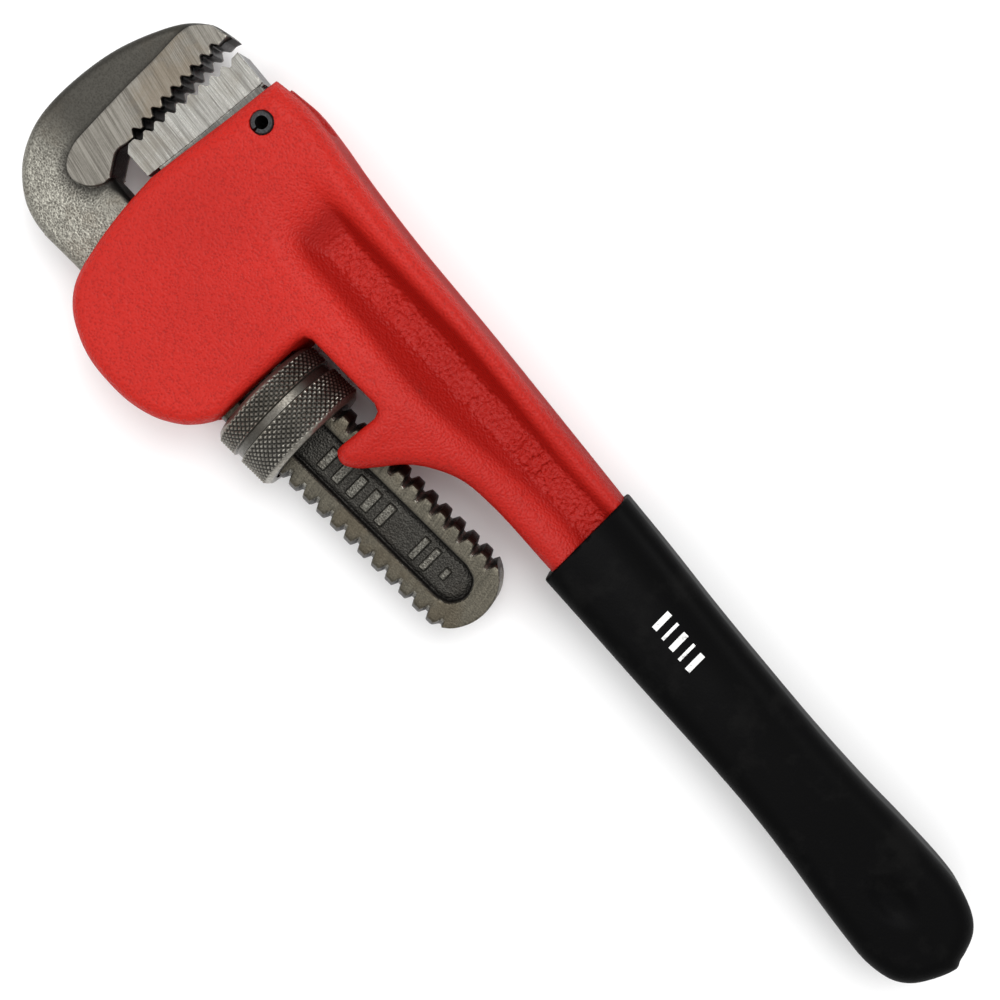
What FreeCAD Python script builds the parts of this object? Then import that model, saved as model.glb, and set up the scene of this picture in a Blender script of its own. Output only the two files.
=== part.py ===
import FreeCAD, Part
import math
import os

import Sketcher
from FreeCAD import Placement, Rotation, Vector

# A pipe wrench. Every piece is drawn about the axis of the hook jaw's shank: X runs along the
# screw towards the grip, Y points from the screw to the mouth, Z is across the wrench, and the
# middle of the adjusting nut is near x = 0. One shift then stands the wrench on its flat side.

SIZES = {
    # the whole wrench, lying on its side: where the shank axis stands
    "stand_x": -57.6, "stand_y": -17.55, "stand_z": 16.4,
    # handle casting
    "housing_width": 32.8, "beam_width": 19.0, "cheek_round": 1.4,
    "slot_width": 14.6, "mortise_width": 13.3,
    "web_floor_near": 9.2, "web_floor_far": 5.2, "hang_hole_radius": 3.4,
    # roll pin through the cheeks
    "pin_x": -49.6, "pin_y": 47.3, "pin_radius": 2.9, "pin_bore": 1.6, "pin_length": 32.0,
    "pin_slit": 0.9,
    # heel jaw
    "heel_width": 14.0, "tang_width": 13.2, "heel_pitch": 3.42, "tooth_depth": 1.3,
    # hook jaw
    "forging_width": 12.6, "pad_width": 14.2, "shank_width": 13.0, "shank_radius": 12.3,
    "hook_pitch": 3.4, "panel_depth": 1.2, "panel_half": 5.4,
    # square thread shared by the shank and the nut, with one clearance all round
    "thread_pitch": 4.64, "thread_root": 10.9, "thread_clear": 0.35, "thread_crest_x": 57.6,
    "thread_start": -14.0, "thread_end": 65.0,
    # adjusting nut
    "nut_left": -8.1, "nut_right": 9.0, "nut_radius": 16.0, "nut_chamfer": 1.3,
    "nut_groove_x": -0.9, "nut_groove_width": 2.1, "nut_groove_depth": 0.9,
    # the springs under the shank
    "leaf_top": -12.65, "leaf_thick": 0.85, "leaf_width": 9.0, "spring_x": -33.0,
    "coil_foot": -20.4, "coil_radius": 3.4, "coil_wire": 0.55, "coil_pocket": 4.6,
    "rivet_radius": 1.5, "rivet_head": 2.5, "rivet_head_depth": 1.1,
    # grip moulded over the beam
    "grip_width": 23.0, "grip_round": 6.0, "dimple_depth": 1.6,
}

doc = FreeCAD.newDocument("PipeWrench")
sheet = doc.addObject("Spreadsheet::Sheet", "Params")
for row, (alias, value) in enumerate(SIZES.items(), start=1):
    sheet.set(f"A{row}", alias)
    sheet.set(f"B{row}", str(value))
    sheet.setAlias(f"B{row}", alias)
doc.recompute()


def size(alias):
    """The number now in one named cell."""
    return float(sheet.get(alias))


def bind(feature, **cells):
    """Tie properties of a feature to formulas over the named cells."""
    for prop, formula in cells.items():
        text = formula
        for alias in sorted(SIZES, key=len, reverse=True):
            text = text.replace("{" + alias + "}", "Params." + alias)
        feature.setExpression(prop, text)
    return feature


def new_body(name):
    """A body standing where the whole wrench stands."""
    body = doc.addObject("PartDesign::Body", name)
    body.Label = name
    body.setExpression("Placement.Base.x", "Params.stand_x")
    body.setExpression("Placement.Base.y", "Params.stand_y")
    body.setExpression("Placement.Base.z", "Params.stand_z")
    return body


def origin_part(body, role):
    return next(f for f in body.Origin.OriginFeatures if f.Role == role)


def edges_of(path):
    """Lines, arcs and curves from a closed path. A pair is a corner, ("arc", middle, end) goes
    round three points and ("curve", points) runs smoothly through its points."""
    edges, at = [], path[0]
    for step in path[1:] + [path[0]]:
        if step[0] == "arc":
            middle, end = step[1], step[2]
            edges.append(Part.Arc(Vector(*at, 0), Vector(*middle, 0), Vector(*end, 0)))
        elif step[0] == "curve":
            end = step[1][-1]
            spline = Part.BSplineCurve()
            spline.interpolate([Vector(*p, 0) for p in [at] + step[1]])
            edges.append(spline)
        else:
            end = step
            if math.dist(at, end) > 1e-6:
                edges.append(Part.LineSegment(Vector(*at, 0), Vector(*end, 0)))
        at = end
    return edges


def sketch(body, name, paths, plane="XY_Plane", lift=0.0, tilt=None):
    """A sketch of closed paths on an origin plane, raised along the plane's normal."""
    drawn = body.newObject("Sketcher::SketchObject", name)
    drawn.AttachmentSupport = [(origin_part(body, plane), "")]
    drawn.MapMode = "FlatFace"
    drawn.AttachmentOffset = Placement(Vector(0, 0, lift), tilt or Rotation())
    for path in paths:
        drawn.addGeometry(edges_of(path), False)
    doc.recompute()
    return drawn


def circle(body, name, centre, radius_cell, plane="XY_Plane", lift=0.0):
    """A sketched circle whose radius is a cell."""
    drawn = sketch(body, name, [], plane, lift)
    ring = Part.Circle(Vector(*centre, 0), Vector(0, 0, 1), size(radius_cell))
    drawn.addGeometry(ring, False)
    drawn.addConstraint(Sketcher.Constraint("Radius", 0, size(radius_cell)))
    drawn.setExpression("Constraints[0]", "Params." + radius_cell)
    doc.recompute()
    return drawn


def sweep(body, kind, name, profile, length, both=False, reverse=False, **more):
    """A Pad or Pocket of one sketch. The length is a formula over cells."""
    feature = body.newObject("PartDesign::" + kind, name)
    feature.Profile = profile
    feature.SideType = "Symmetric" if both else "One side"
    feature.Reversed = reverse
    for prop, value in more.items():
        setattr(feature, prop, value)
    bind(feature, Length=length)
    body.Tip = feature
    doc.recompute()
    return feature


def pad(body, name, paths, length, plane="XY_Plane", lift=0.0, both=True, reverse=False):
    drawn = sketch(body, name + "Sketch", paths, plane, lift)
    return sweep(body, "Pad", name, drawn, length, both, reverse)


def cut(body, name, paths, length, plane="XY_Plane", lift=0.0, both=True, reverse=False):
    drawn = sketch(body, name + "Sketch", paths, plane, lift)
    return sweep(body, "Pocket", name, drawn, length, both, reverse)


def round_edges(body, name, radius, wanted):
    """Round the edges that the test picks, keeping the sharp body if a round would break it."""
    base = body.Tip
    picked = [f"Edge{i}" for i, e in enumerate(base.Shape.Edges, start=1) if wanted(e)]
    if not picked:
        return None
    feature = body.newObject("PartDesign::Fillet", name)
    feature.Base = (base, picked)
    bind(feature, Radius=radius)
    body.Tip = feature
    doc.recompute()
    if not feature.isValid() or feature.Shape.isNull() or not feature.Shape.isValid():
        body.removeObject(feature)
        doc.removeObject(feature.Name)
        base.Visibility = True
        body.Tip = base
        doc.recompute()
        print("no round", name)
        return None
    return feature


def revolve(body, name, path, axis="X_Axis"):
    """A solid turned about an origin axis from a profile in the XY plane."""
    feature = body.newObject("PartDesign::Revolution", name)
    feature.Profile = sketch(body, name + "Sketch", [path])
    feature.ReferenceAxis = (origin_part(body, axis), [""])
    feature.Angle = 360
    body.Tip = feature
    doc.recompute()
    return feature


def thread_cut(body, name, middle, depths, half_widths, length):
    """A right-handed groove wound about X. It starts at x = middle on the +Y side."""
    inner, outer = depths
    root, crest = half_widths
    path = [(middle - root, inner), (middle + root, inner), (middle + crest, outer),
            (middle - crest, outer)]
    feature = body.newObject("PartDesign::SubtractiveHelix", name)
    feature.Profile = sketch(body, name + "Sketch", [path])
    feature.ReferenceAxis = (origin_part(body, "X_Axis"), [""])
    feature.Mode = "pitch-height-angle"
    feature.Height = length
    feature.Angle = 0
    feature.LeftHanded = False
    bind(feature, Pitch="{thread_pitch} * 1 mm")
    body.Tip = feature
    doc.recompute()
    return feature


def saw(pitch, count, start, lean, depth, base):
    """Triangular notches along a line that leans from the Y axis, opening towards -X or +X."""
    notches = []
    for i in range(count):
        low, high = i * pitch, (i + 1) * pitch
        across = [(base, low + 0.25), (depth, (low + high) / 2 - 0.15),
                  (depth, (low + high) / 2 + 0.15), (base, high - 0.25)]
        turned = [(start[0] + a * math.cos(lean) + b * math.sin(lean),
                   start[1] - a * math.sin(lean) + b * math.cos(lean)) for a, b in across]
        notches.append(turned)
    return notches


# ------------------------------------------------------------------ handle casting
# Outline from the mouth corner along the mouth side, round the buried tail, back along the
# lower edge of the beam, over the lug and the nut window, and round the bulge to the head.
handle = new_body("handle")
HEAD_TOP, LUG_TIP = (-54.7, 57.0), (18.4, 3.0)
outline = [
    HEAD_TOP,
    ("curve", [(-46.0, 57.9), (-36.8, 57.1), (-26.3, 55.3), (-8.4, 52.7), (26.3, 49.2),
               (71.6, 44.2), (107.6, 38.4), (143.8, 34.3), (174.3, 33.2), (190.0, 32.4)]),
    ("arc", (200.6, 20.6), (190.6, 8.4)),
    ("curve", [(174.3, 10.0), (145.7, 14.2), (107.6, 17.0), (71.6, 18.9), (44.2, 20.2)]),
    ("curve", [(34.7, 17.0), (29.5, 13.4), (22.1, 5.0), LUG_TIP]),
    (16.4, 3.6), (15.8, 6.0), (16.8, 16.0), (16.8, 30.0), (-20.0, 30.0), (-20.0, -19.9),
    ("curve", [(-26.0, -22.2), (-31.6, -22.8), (-41.0, -21.9), (-47.4, -19.8), (-53.7, -15.6),
               (-56.8, -11.4)]),
    (-59.5, 2.8), (-60.5, 19.7),
]
pad(handle, "Outline", [outline], "{housing_width} * 1 mm")
pad(handle, "FrontOfWindow", [[(-21.0, 30.0), (-21.0, -20.3), ("arc", (-14.8, -17.4),
    (-9.9, -12.0)), (-8.6, 17.0), (-6.7, 19.0), (14.8, 18.6), (16.9, 16.0), (18.0, 30.0)]],
    "{housing_width} * 1 mm")


def on_cheek_rim(edge):
    """Rims of the two cheek faces, away from the window."""
    box = edge.BoundBox
    flat = box.ZLength < 0.01 and abs(abs(box.Center.z) - size("housing_width") / 2) < 0.05
    middle = edge.CenterOfMass
    in_window = -10.2 < middle.x < 17.2 and middle.y < 20
    return flat and not in_window


round_edges(handle, "CheekRound", "{cheek_round} * 1 mm", on_cheek_rim)

# the beam behind the lug is thinner than the housing: two side cuts, straight through in Y
for side in (1, -1):
    full, thin = side * 17.5, side * size("beam_width") / 2
    shoulder = side * size("housing_width") / 2
    cut(handle, "BeamSide" + ("Near" if side > 0 else "Far"), [[
        (24.0, full), (24.0, shoulder), ("curve", [(32.0, side * 14.8), (44.0, side * 11.2),
        (60.0, thin)]), (230.0, thin), (230.0, full)]], "400 mm", plane="XZ_Plane")

# beam recess on both sides, its floor falling towards the grip
for side in (1, -1):
    name = "Near" if side > 0 else "Far"
    fall = math.degrees(math.atan2(size("web_floor_near") - size("web_floor_far"), 85.0))
    tilt = Rotation(Vector(0, 1, 0), side * fall)
    middle = side * (size("web_floor_near") - 12.0 * math.tan(math.radians(fall)))
    floor = sketch(handle, "RecessFloor" + name,
                   [[(-16.0, 35.6), (-16.0, 42.2), (72.0, 37.4), (72.0, 30.0)]],
                   lift=middle, tilt=tilt)
    mouth = sketch(handle, "RecessMouth" + name,
                   [[(-26.0, 28.4), (-26.0, 48.6), (82.0, 44.2), (82.0, 22.6)]],
                   lift=middle + side * 9.0, tilt=tilt)
    recess = handle.newObject("PartDesign::SubtractiveLoft", "Recess" + name)
    recess.Profile = floor
    recess.Sections = [mouth]
    recess.Ruled = True
    handle.Tip = recess
    doc.recompute()

# slot for the shank: a tunnel through the bulge, then the gap between the two lugs
# The roof ends at the nut window in a nose of 1 mm radius, and the shank rocks about its centre.
cut(handle, "Tunnel", [[(-75.0, 12.75), (-9.75, 12.75), ("arc", (-9.0429, 13.0429),
    (-8.75, 13.75)), (-5.0, 13.75), (-5.0, -16.7), (-49.0, -16.7), (-52.5, -18.6),
    (-56.0, -24.0), (-75.0, -24.0)]], "{slot_width} * 1 mm")
cut(handle, "LugGap", [[(10.0, -5.0), (10.0, 15.6), (45.0, 15.6), (45.0, -5.0)]],
    "{slot_width} * 1 mm")
cut(handle, "Mortise", [[(-75.0, 21.4), (-42.9, 21.4), (-42.9, 51.9), (-75.0, 54.2)]],
    "{mortise_width} * 1 mm")
cut(handle, "HeelSeat", [[(-75.0, 17.6), (-60.2, 17.6), (-54.2, 54.8), (-54.4, 59.0),
    (-75.0, 59.0)]], "({heel_width} + 0.6) * 1 mm")
sweep(handle, "Pocket", "PinHole", circle(handle, "PinHoleSketch",
      (size("pin_x"), size("pin_y")), "pin_radius"), "60 mm", both=True)
sweep(handle, "Pocket", "HangHole", circle(handle, "HangHoleSketch", (184.0, 20.6),
      "hang_hole_radius"), "60 mm", both=True)
pocket = sweep(handle, "Pocket", "SpringPocket", circle(handle, "SpringPocketSketch",
               (size("spring_x"), 0.0), "coil_pocket", plane="XZ_Plane"),
               "-{coil_foot} * 1 mm")
if pocket.Shape.BoundBox.YMax < 57.0 or handle.Shape.isInside(
        Vector(size("spring_x") + size("stand_x"), -19.0 + size("stand_y"), size("stand_z")),
        1e-3, True):
    pocket.Reversed = True
    doc.recompute()

# ------------------------------------------------------------------ heel jaw and its pin
# The toothed face leans back 7.6 degrees, so the closed mouth opens a little towards +Y.
heel = new_body("heel_jaw")
pad(heel, "Head", [[(-71.25, 20.75), (-69.75, 18.9), (-62.6, 18.5), (-57.25, 53.5),
    (-66.95, 54.6)]], "{heel_width} * 1 mm")
pad(heel, "Tang", [[(-63.0, 21.6), (-43.1, 21.6), (-43.1, 51.6), (-58.0, 52.7)]],
    "{tang_width} * 1 mm")
lean = math.radians(7.6)
cut(heel, "Teeth", saw(size("heel_pitch"), 9, (-71.0, 22.3), lean, size("tooth_depth"), -0.3),
    "60 mm")
sweep(heel, "Pocket", "PinHole", circle(heel, "PinHoleSketch",
      (size("pin_x"), size("pin_y")), "pin_radius"), "60 mm", both=True)

pin = new_body("heel_jaw_pin")
sweep(pin, "Pad", "Wall", circle(pin, "WallSketch", (size("pin_x"), size("pin_y")),
      "pin_radius"), "{pin_length} * 1 mm", both=True)
sweep(pin, "Pocket", "Bore", circle(pin, "BoreSketch", (size("pin_x"), size("pin_y")),
      "pin_bore"), "60 mm", both=True)
slit, px, py = size("pin_slit") / 2, size("pin_x"), size("pin_y")
cut(pin, "Slit", [[(px - slit, py), (px + slit, py), (px + slit, py - 4), (px - slit, py - 4)]],
    "60 mm")

# ------------------------------------------------------------------ hook jaw
hook = new_body("hook_jaw")
half, big = size("shank_width") / 2, size("shank_radius")
edge_y = math.sqrt(big ** 2 - half ** 2)
pad(hook, "Shank", [[(edge_y, half), ("arc", (big, 0.0), (edge_y, -half)), (-edge_y, -half),
    ("arc", (-big, 0.0), (-edge_y, half))]], "(68 - {thread_start}) * 1 mm",
    plane="YZ_Plane", lift=size("thread_start"), both=False)
thread_cut(hook, "Thread", size("thread_crest_x") - 15.5 * size("thread_pitch") -
           size("thread_pitch"), (size("thread_root"), big + 1.0), (1.1, 1.75),
           size("thread_end") - size("thread_start") + 1.0)
cut(hook, "TailRound", [[(60.5, 14.0), (60.5, 11.4), ("arc", (66.0, 7.0), (67.9, 0.0)),
    ("arc", (66.0, -7.0), (60.5, -11.4)), (60.5, -14.0), (72.0, -14.0), (72.0, 14.0)]], "60 mm")
pad(hook, "Neck", [[(-70.0, -9.75), (-11.5, -9.75), (-11.5, 9.9), (-52.0, 9.9),
    (-58.0, 10.9), (-70.0, 11.6)]], "{shank_width} * 1 mm")
# outer forging, then the ground pad that stands a little prouder on both sides
back = [(-70.0, 56.0), ("curve", [(-75.0, 55.1), (-80.0, 51.0), (-85.0, 42.5), (-89.5, 31.5),
        (-92.2, 16.0), (-91.3, 7.0), (-87.5, -1.0), (-81.0, -7.0), (-75.0, -9.3),
        (-68.0, -9.75)]), (-68.0, 11.75), (-69.2, 11.9)]
throat = ("curve", [(-70.5, 14.0), (-72.3, 17.6), (-71.65, 20.9)])
pad(hook, "Hook", [back + [throat, (-71.45, 22.4), (-71.45, 53.0)]], "{forging_width} * 1 mm")
pad(hook, "GroundPad", [[(-71.45, 53.6), (-79.0, 51.0), (-80.3, 40.0), (-80.9, 18.0),
    ("arc", (-80.0, 8.4), (-75.5, 5.3)), ("arc", (-70.9, 7.4), (-69.2, 11.9)), throat,
    (-71.45, 22.4)]], "{pad_width} * 1 mm")
cut(hook, "Teeth", [[(-71.45 - x, y) for x, y in path] for path in
    saw(size("hook_pitch"), 9, (0.0, 22.3), 0.0, size("tooth_depth") + 0.2, -0.3)], "60 mm")
for side in (1, -1):
    lane = size("panel_half")
    cut(hook, "Panel" + ("Near" if side > 0 else "Far"),
        [[(-36.0, -lane), (57.0, -lane), ("arc", (57.0 + lane, 0.2), (57.0, lane + 0.3)),
          (-36.0, lane + 0.3), ("arc", (-36.0 - lane, 0.2), (-36.0, -lane))]],
        "{panel_depth} * 1 mm", lift=side * half, both=False, reverse=side < 0)

# ------------------------------------------------------------------ adjusting nut
nut = new_body("adjusting_nut")
left, right, outer = size("nut_left"), size("nut_right"), size("nut_radius")
bevel, clear = size("nut_chamfer"), size("thread_clear")
inner = size("thread_root") + clear
groove, deep = size("nut_groove_x"), outer - size("nut_groove_depth")
wide = size("nut_groove_width") / 2
revolve(nut, "Turned", [(left, inner + 0.8), (left, outer - bevel), (left + bevel, outer),
        (groove - wide, outer), (groove - wide, deep), (groove + wide, deep),
        (groove + wide, outer), (right - bevel, outer), (right, outer - bevel),
        (right, inner + 0.8), (right - 0.8, inner), (left + 0.8, inner)])
turns = math.ceil((size("thread_crest_x") - left) / size("thread_pitch")) + 1
thread_cut(nut, "Thread", size("thread_crest_x") - turns * size("thread_pitch"),
           (inner - 1.0, big + clear), (1.65, 1.2), right - left + 3 * size("thread_pitch"))

# ------------------------------------------------------------------ springs under the shank
leaf = new_body("flat_spring")
top, thick, at_x = size("leaf_top"), size("leaf_thick"), size("spring_x")
pad(leaf, "Leaf", [[(at_x - 13.0, top - 0.9), ("curve", [(at_x - 6.0, top - 0.15),
    (at_x, top), (at_x + 6.0, top - 0.15), (at_x + 13.0, top - 0.9)]),
    (at_x + 13.0, top - 0.9 - thick), ("curve", [(at_x + 6.0, top - 0.15 - thick),
    (at_x, top - thick), (at_x - 6.0, top - 0.15 - thick), (at_x - 13.0, top - 0.9 - thick)])]],
    "{leaf_width} * 1 mm")
hole = circle(leaf, "RivetHoleSketch", (at_x, 0.0), "rivet_radius", plane="XZ_Plane")
sweep(leaf, "Pocket", "RivetHole", hole, "60 mm", both=True)

rivet = doc.addObject("PartDesign::Body", "spring_rivet")
rivet.Label = "spring_rivet"
rivet.setExpression("Placement.Base.x", "Params.stand_x + Params.spring_x")
rivet.setExpression("Placement.Base.y", "Params.stand_y + Params.leaf_top - 0.1")
rivet.setExpression("Placement.Base.z", "Params.stand_z")
body_r, head_r = size("rivet_radius"), size("rivet_head")
low = -(thick - 0.1)
revolve(rivet, "Turned", [(0.0, 0.0), (body_r, 0.0), (body_r, low), (head_r, low),
        (head_r, low - 0.7), (head_r - 0.4, low - size("rivet_head_depth")),
        (0.0, low - size("rivet_head_depth"))], axis="Y_Axis")

coil = new_body("coil_spring")
foot, ring, wire = size("coil_foot"), size("coil_radius"), size("coil_wire")
wound = coil.newObject("PartDesign::AdditiveHelix", "Wound")
section = circle(coil, "WireSketch", (ring, foot + wire), "coil_wire")
section.AttachmentOffset = Placement(Vector(at_x, 0, 0), Rotation())
wound.Profile = section
wound.ReferenceAxis = (section, ["V_Axis"])
wound.Mode = "pitch-turns-angle"
wound.Turns = 3.0
wound.Angle = 0
bind(wound, Pitch="({leaf_top} - {leaf_thick} - {coil_foot} - 2 * {coil_wire} - 0.1) / 3 * 1 mm")
coil.Tip = wound
doc.recompute()

# ------------------------------------------------------------------ grip
grip = new_body("handle_grip")
skin = [(72.2, 16.2), (72.2, 44.6), ("curve", [(88.6, 43.1), (107.6, 40.7), (143.8, 37.1),
        (174.3, 36.0), (190.5, 35.0), (201.0, 31.2), (206.0, 24.6), (207.4, 18.6),
        (204.4, 11.6), (198.4, 6.4), (190.5, 5.0), (174.3, 7.1), (143.8, 11.6),
        (107.6, 14.0), (88.6, 15.2), (72.2, 16.2)])]
pad(grip, "Skin", [skin], "{grip_width} * 1 mm")


def on_grip_rim(edge):
    box = edge.BoundBox
    flat = box.ZLength < 0.01 and abs(abs(box.Center.z) - size("grip_width") / 2) < 0.05
    return flat and edge.Length > 60.0


round_edges(grip, "GripRound", "{grip_round} * 1 mm", on_grip_rim)
beam = [(60.0, 19.4), (60.0, 45.6), (71.6, 44.2), ("curve", [(107.6, 38.4), (143.8, 34.3),
        (174.3, 33.2), (190.0, 32.4)]), ("arc", (200.6, 20.6), (190.6, 8.4)),
        ("curve", [(174.3, 10.0), (145.7, 14.2), (107.6, 17.0), (71.6, 18.9)])]
cut(grip, "BeamRoom", [beam], "{beam_width} * 1 mm")
for side in (1, -1):
    cut(grip, "Dimple" + ("Near" if side > 0 else "Far"), [[(180.5, 16.8), (187.5, 16.2),
        ("arc", (191.4, 20.0), (188.0, 24.0)), (181.0, 24.6), ("arc", (177.2, 20.8),
        (180.5, 16.8))]], "{dimple_depth} * 1 mm", lift=side * size("grip_width") / 2,
        both=False, reverse=side < 0)

# ------------------------------------------------------------------ check and write
doc.recompute()
os.makedirs("parts", exist_ok=True)
for piece in (handle, grip, heel, pin, hook, nut, leaf, rivet, coil):
    for feature in [piece] + list(piece.Group):
        if "Invalid" in feature.State or "Error" in feature.State:
            raise RuntimeError(f"{piece.Label}: {feature.Label} is {feature.State}")
    shape = piece.Shape
    if not shape.isValid() or len(shape.Solids) != 1:
        raise RuntimeError(f"{piece.Label}: valid {shape.isValid()}, {len(shape.Solids)} solids")
    shape.exportStep(f"parts/{piece.Label}.step")
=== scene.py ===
"""A pipe wrench lying on a pale studio floor, built around its packed mechanism."""

import logging
import math
from dataclasses import dataclass, field
from enum import Enum
from typing import Callable, Optional, Sequence

import bpy
import numpy as np
from mathutils import Matrix, Vector


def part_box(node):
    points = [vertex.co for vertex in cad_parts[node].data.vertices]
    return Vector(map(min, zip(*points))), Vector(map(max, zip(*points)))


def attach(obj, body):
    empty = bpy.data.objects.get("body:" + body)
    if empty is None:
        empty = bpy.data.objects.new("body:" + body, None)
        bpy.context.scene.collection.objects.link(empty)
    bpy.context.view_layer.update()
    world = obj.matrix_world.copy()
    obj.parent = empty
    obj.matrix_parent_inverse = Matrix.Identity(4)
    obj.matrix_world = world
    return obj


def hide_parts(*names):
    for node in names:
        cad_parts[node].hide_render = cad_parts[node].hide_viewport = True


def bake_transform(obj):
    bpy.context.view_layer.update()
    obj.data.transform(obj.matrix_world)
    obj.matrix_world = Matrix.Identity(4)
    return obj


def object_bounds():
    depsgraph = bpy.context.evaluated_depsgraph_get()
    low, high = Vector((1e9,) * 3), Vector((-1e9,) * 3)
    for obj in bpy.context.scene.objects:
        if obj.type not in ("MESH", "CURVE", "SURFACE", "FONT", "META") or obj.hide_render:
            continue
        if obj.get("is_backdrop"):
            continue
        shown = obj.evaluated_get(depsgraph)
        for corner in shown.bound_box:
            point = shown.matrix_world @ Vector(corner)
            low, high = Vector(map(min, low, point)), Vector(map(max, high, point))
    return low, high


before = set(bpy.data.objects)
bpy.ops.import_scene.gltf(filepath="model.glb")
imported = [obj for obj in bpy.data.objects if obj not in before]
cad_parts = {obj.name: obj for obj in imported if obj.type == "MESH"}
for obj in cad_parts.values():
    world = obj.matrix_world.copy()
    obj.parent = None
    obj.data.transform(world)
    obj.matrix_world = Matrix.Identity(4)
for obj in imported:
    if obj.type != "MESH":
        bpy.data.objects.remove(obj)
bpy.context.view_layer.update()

LOG = logging.getLogger("pipe_wrench")
MM = 0.001
MIX_FIRST, MIX_SECOND, MIX_RESULT = 6, 7, 2  # a Mix node's colour sockets
Point = tuple[float, float]
Array = np.ndarray
Field = Callable[[Array, Array, Array], Array]


# --------------------------------------------------------------------------- the wrench's axes
@dataclass(frozen=True)
class WrenchAxes:
    """The maker's own axes: X along the screw from the nut, Y to the mouth, Z across, in mm.

    The nut's box says where the screw is, so the maker's sizes land on the mechanism.
    """

    nut_left: float = -8.1

    def origin(self) -> Vector:
        """Where the screw crosses the maker's zero, in metres in the row frame.

        Returns:
            The place.
        """
        low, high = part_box("adjusting_nut")
        middle = (low + high) / 2
        return Vector((low.x - self.nut_left * MM, middle.y, middle.z))

    def place(self, points: Array) -> Array:
        """Move maker's millimetres to row metres.

        Args:
            points: Rows of x, y, z in millimetres.

        Returns:
            The same rows in metres in the row frame.
        """
        return np.asarray(points, float) * MM + np.array(self.origin())


AXES = WrenchAxes()


# --------------------------------------------------------------------------- plane outlines
def smooth_run(points: Sequence[Point], steps: int = 8) -> list[Point]:
    """Pass a smooth line through points, leaving out the first.

    Args:
        points: Points that the line goes through.
        steps: How many short runs there are between two points.

    Returns:
        Points on the line after the first point given.
    """
    pts = np.array(points, float)
    ends = np.vstack([2 * pts[0] - pts[1], pts, 2 * pts[-1] - pts[-2]])
    run: list[Point] = []
    for i in range(1, len(ends) - 2):
        a, b, c, d = ends[i - 1 : i + 3]
        knots = [0.0]
        for p, q in ((a, b), (b, c), (c, d)):
            knots.append(knots[-1] + max(float(np.linalg.norm(q - p)), 1e-6) ** 0.5)
        for t in np.linspace(knots[1], knots[2], steps + 1)[1:]:
            ab = ((knots[1] - t) * a + (t - knots[0]) * b) / (knots[1] - knots[0])
            bc = ((knots[2] - t) * b + (t - knots[1]) * c) / (knots[2] - knots[1])
            cd = ((knots[3] - t) * c + (t - knots[2]) * d) / (knots[3] - knots[2])
            abc = ((knots[2] - t) * ab + (t - knots[0]) * bc) / (knots[2] - knots[0])
            bcd = ((knots[3] - t) * bc + (t - knots[1]) * cd) / (knots[3] - knots[1])
            on = ((knots[2] - t) * abc + (t - knots[1]) * bcd) / (knots[2] - knots[1])
            run.append((float(on[0]), float(on[1])))
    return run


@dataclass
class Outline:
    """A closed outline in the plane of the wrench's side, with a signed distance."""

    corners: list[Point] = field(default_factory=list)

    def to(self, *points: Point) -> "Outline":
        """Add straight runs to each point."""
        self.corners.extend(points)
        return self

    def curve(self, *points: Point, steps: int = 8) -> "Outline":
        """Add a smooth run from the last corner through the points."""
        self.corners.extend(smooth_run([self.corners[-1], *points], steps))
        return self

    def distance(self, x: Array, y: Array) -> Array:
        """Give the signed distance to the outline, negative inside.

        Args:
            x: Positions along the screw, any shape that goes with y.
            y: Positions towards the mouth.

        Returns:
            Distances in the shape that x and y make together.
        """
        x, y = np.broadcast_arrays(np.asarray(x, float), np.asarray(y, float))
        flat_x, flat_y = x.ravel(), y.ravel()
        start = np.array(self.corners, float)
        run = np.roll(start, -1, axis=0) - start
        keep = (run**2).sum(1) > 1e-12
        start, run = start[keep], run[keep]
        length = (run**2).sum(1)
        result = np.empty(flat_x.size)
        chunk = max(1, 1_500_000 // len(start))
        for at in range(0, flat_x.size, chunk):
            px = flat_x[at : at + chunk, None] - start[None, :, 0]
            py = flat_y[at : at + chunk, None] - start[None, :, 1]
            along = np.clip((px * run[:, 0] + py * run[:, 1]) / length, 0, 1)
            near = (px - along * run[:, 0]) ** 2 + (py - along * run[:, 1]) ** 2
            above, turn = py >= 0, run[:, 0] * py - run[:, 1] * px
            below_end = py < run[:, 1]
            crossings = (above & below_end & (turn > 0)) | (~above & ~below_end & (turn < 0))
            inside = crossings.sum(1) % 2 == 1
            result[at : at + chunk] = np.sqrt(near.min(1)) * np.where(inside, -1.0, 1.0)
        return result.reshape(x.shape)


# --------------------------------------------------------------------------- solid shaping
def blend_out(a: Array, b: Array, radius: float) -> Array:
    """Keep what lies in both shapes, with a round of about this radius where they meet."""
    mix = np.clip(0.5 + 0.5 * (a - b) / radius, 0, 1)
    return b + (a - b) * mix + radius * mix * (1 - mix)


def blend_in(a: Array, b: Array, radius: float) -> Array:
    """Join two shapes with a fillet of about this radius."""
    return -blend_out(-a, -b, radius)


def slab(plan: Array, z: Array, half: Array | float, round_: float) -> Array:
    """Raise a plan into a plate with rounded rims.

    Args:
        plan: Signed distance to the plan's outline.
        z: Position across the wrench.
        half: Half the plate's thickness.
        round_: Radius of the rims.

    Returns:
        Signed distance to the plate.
    """
    side, face = plan + round_, np.abs(z) - half + round_
    outside = np.hypot(np.maximum(side, 0), np.maximum(face, 0))
    return np.minimum(np.maximum(side, face), 0) + outside - round_


def soft_ramp(value: Array, softness: float) -> Array:
    """Zero below zero and the value above it, with a soft knee between."""
    return 0.5 * (value + np.sqrt(value**2 + softness**2))


def ease(value: Array, low: float, high: float) -> Array:
    """Go smoothly from 0 at low to 1 at high."""
    t = np.clip((value - low) / (high - low), 0, 1)
    return t * t * (3 - 2 * t)


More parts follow.
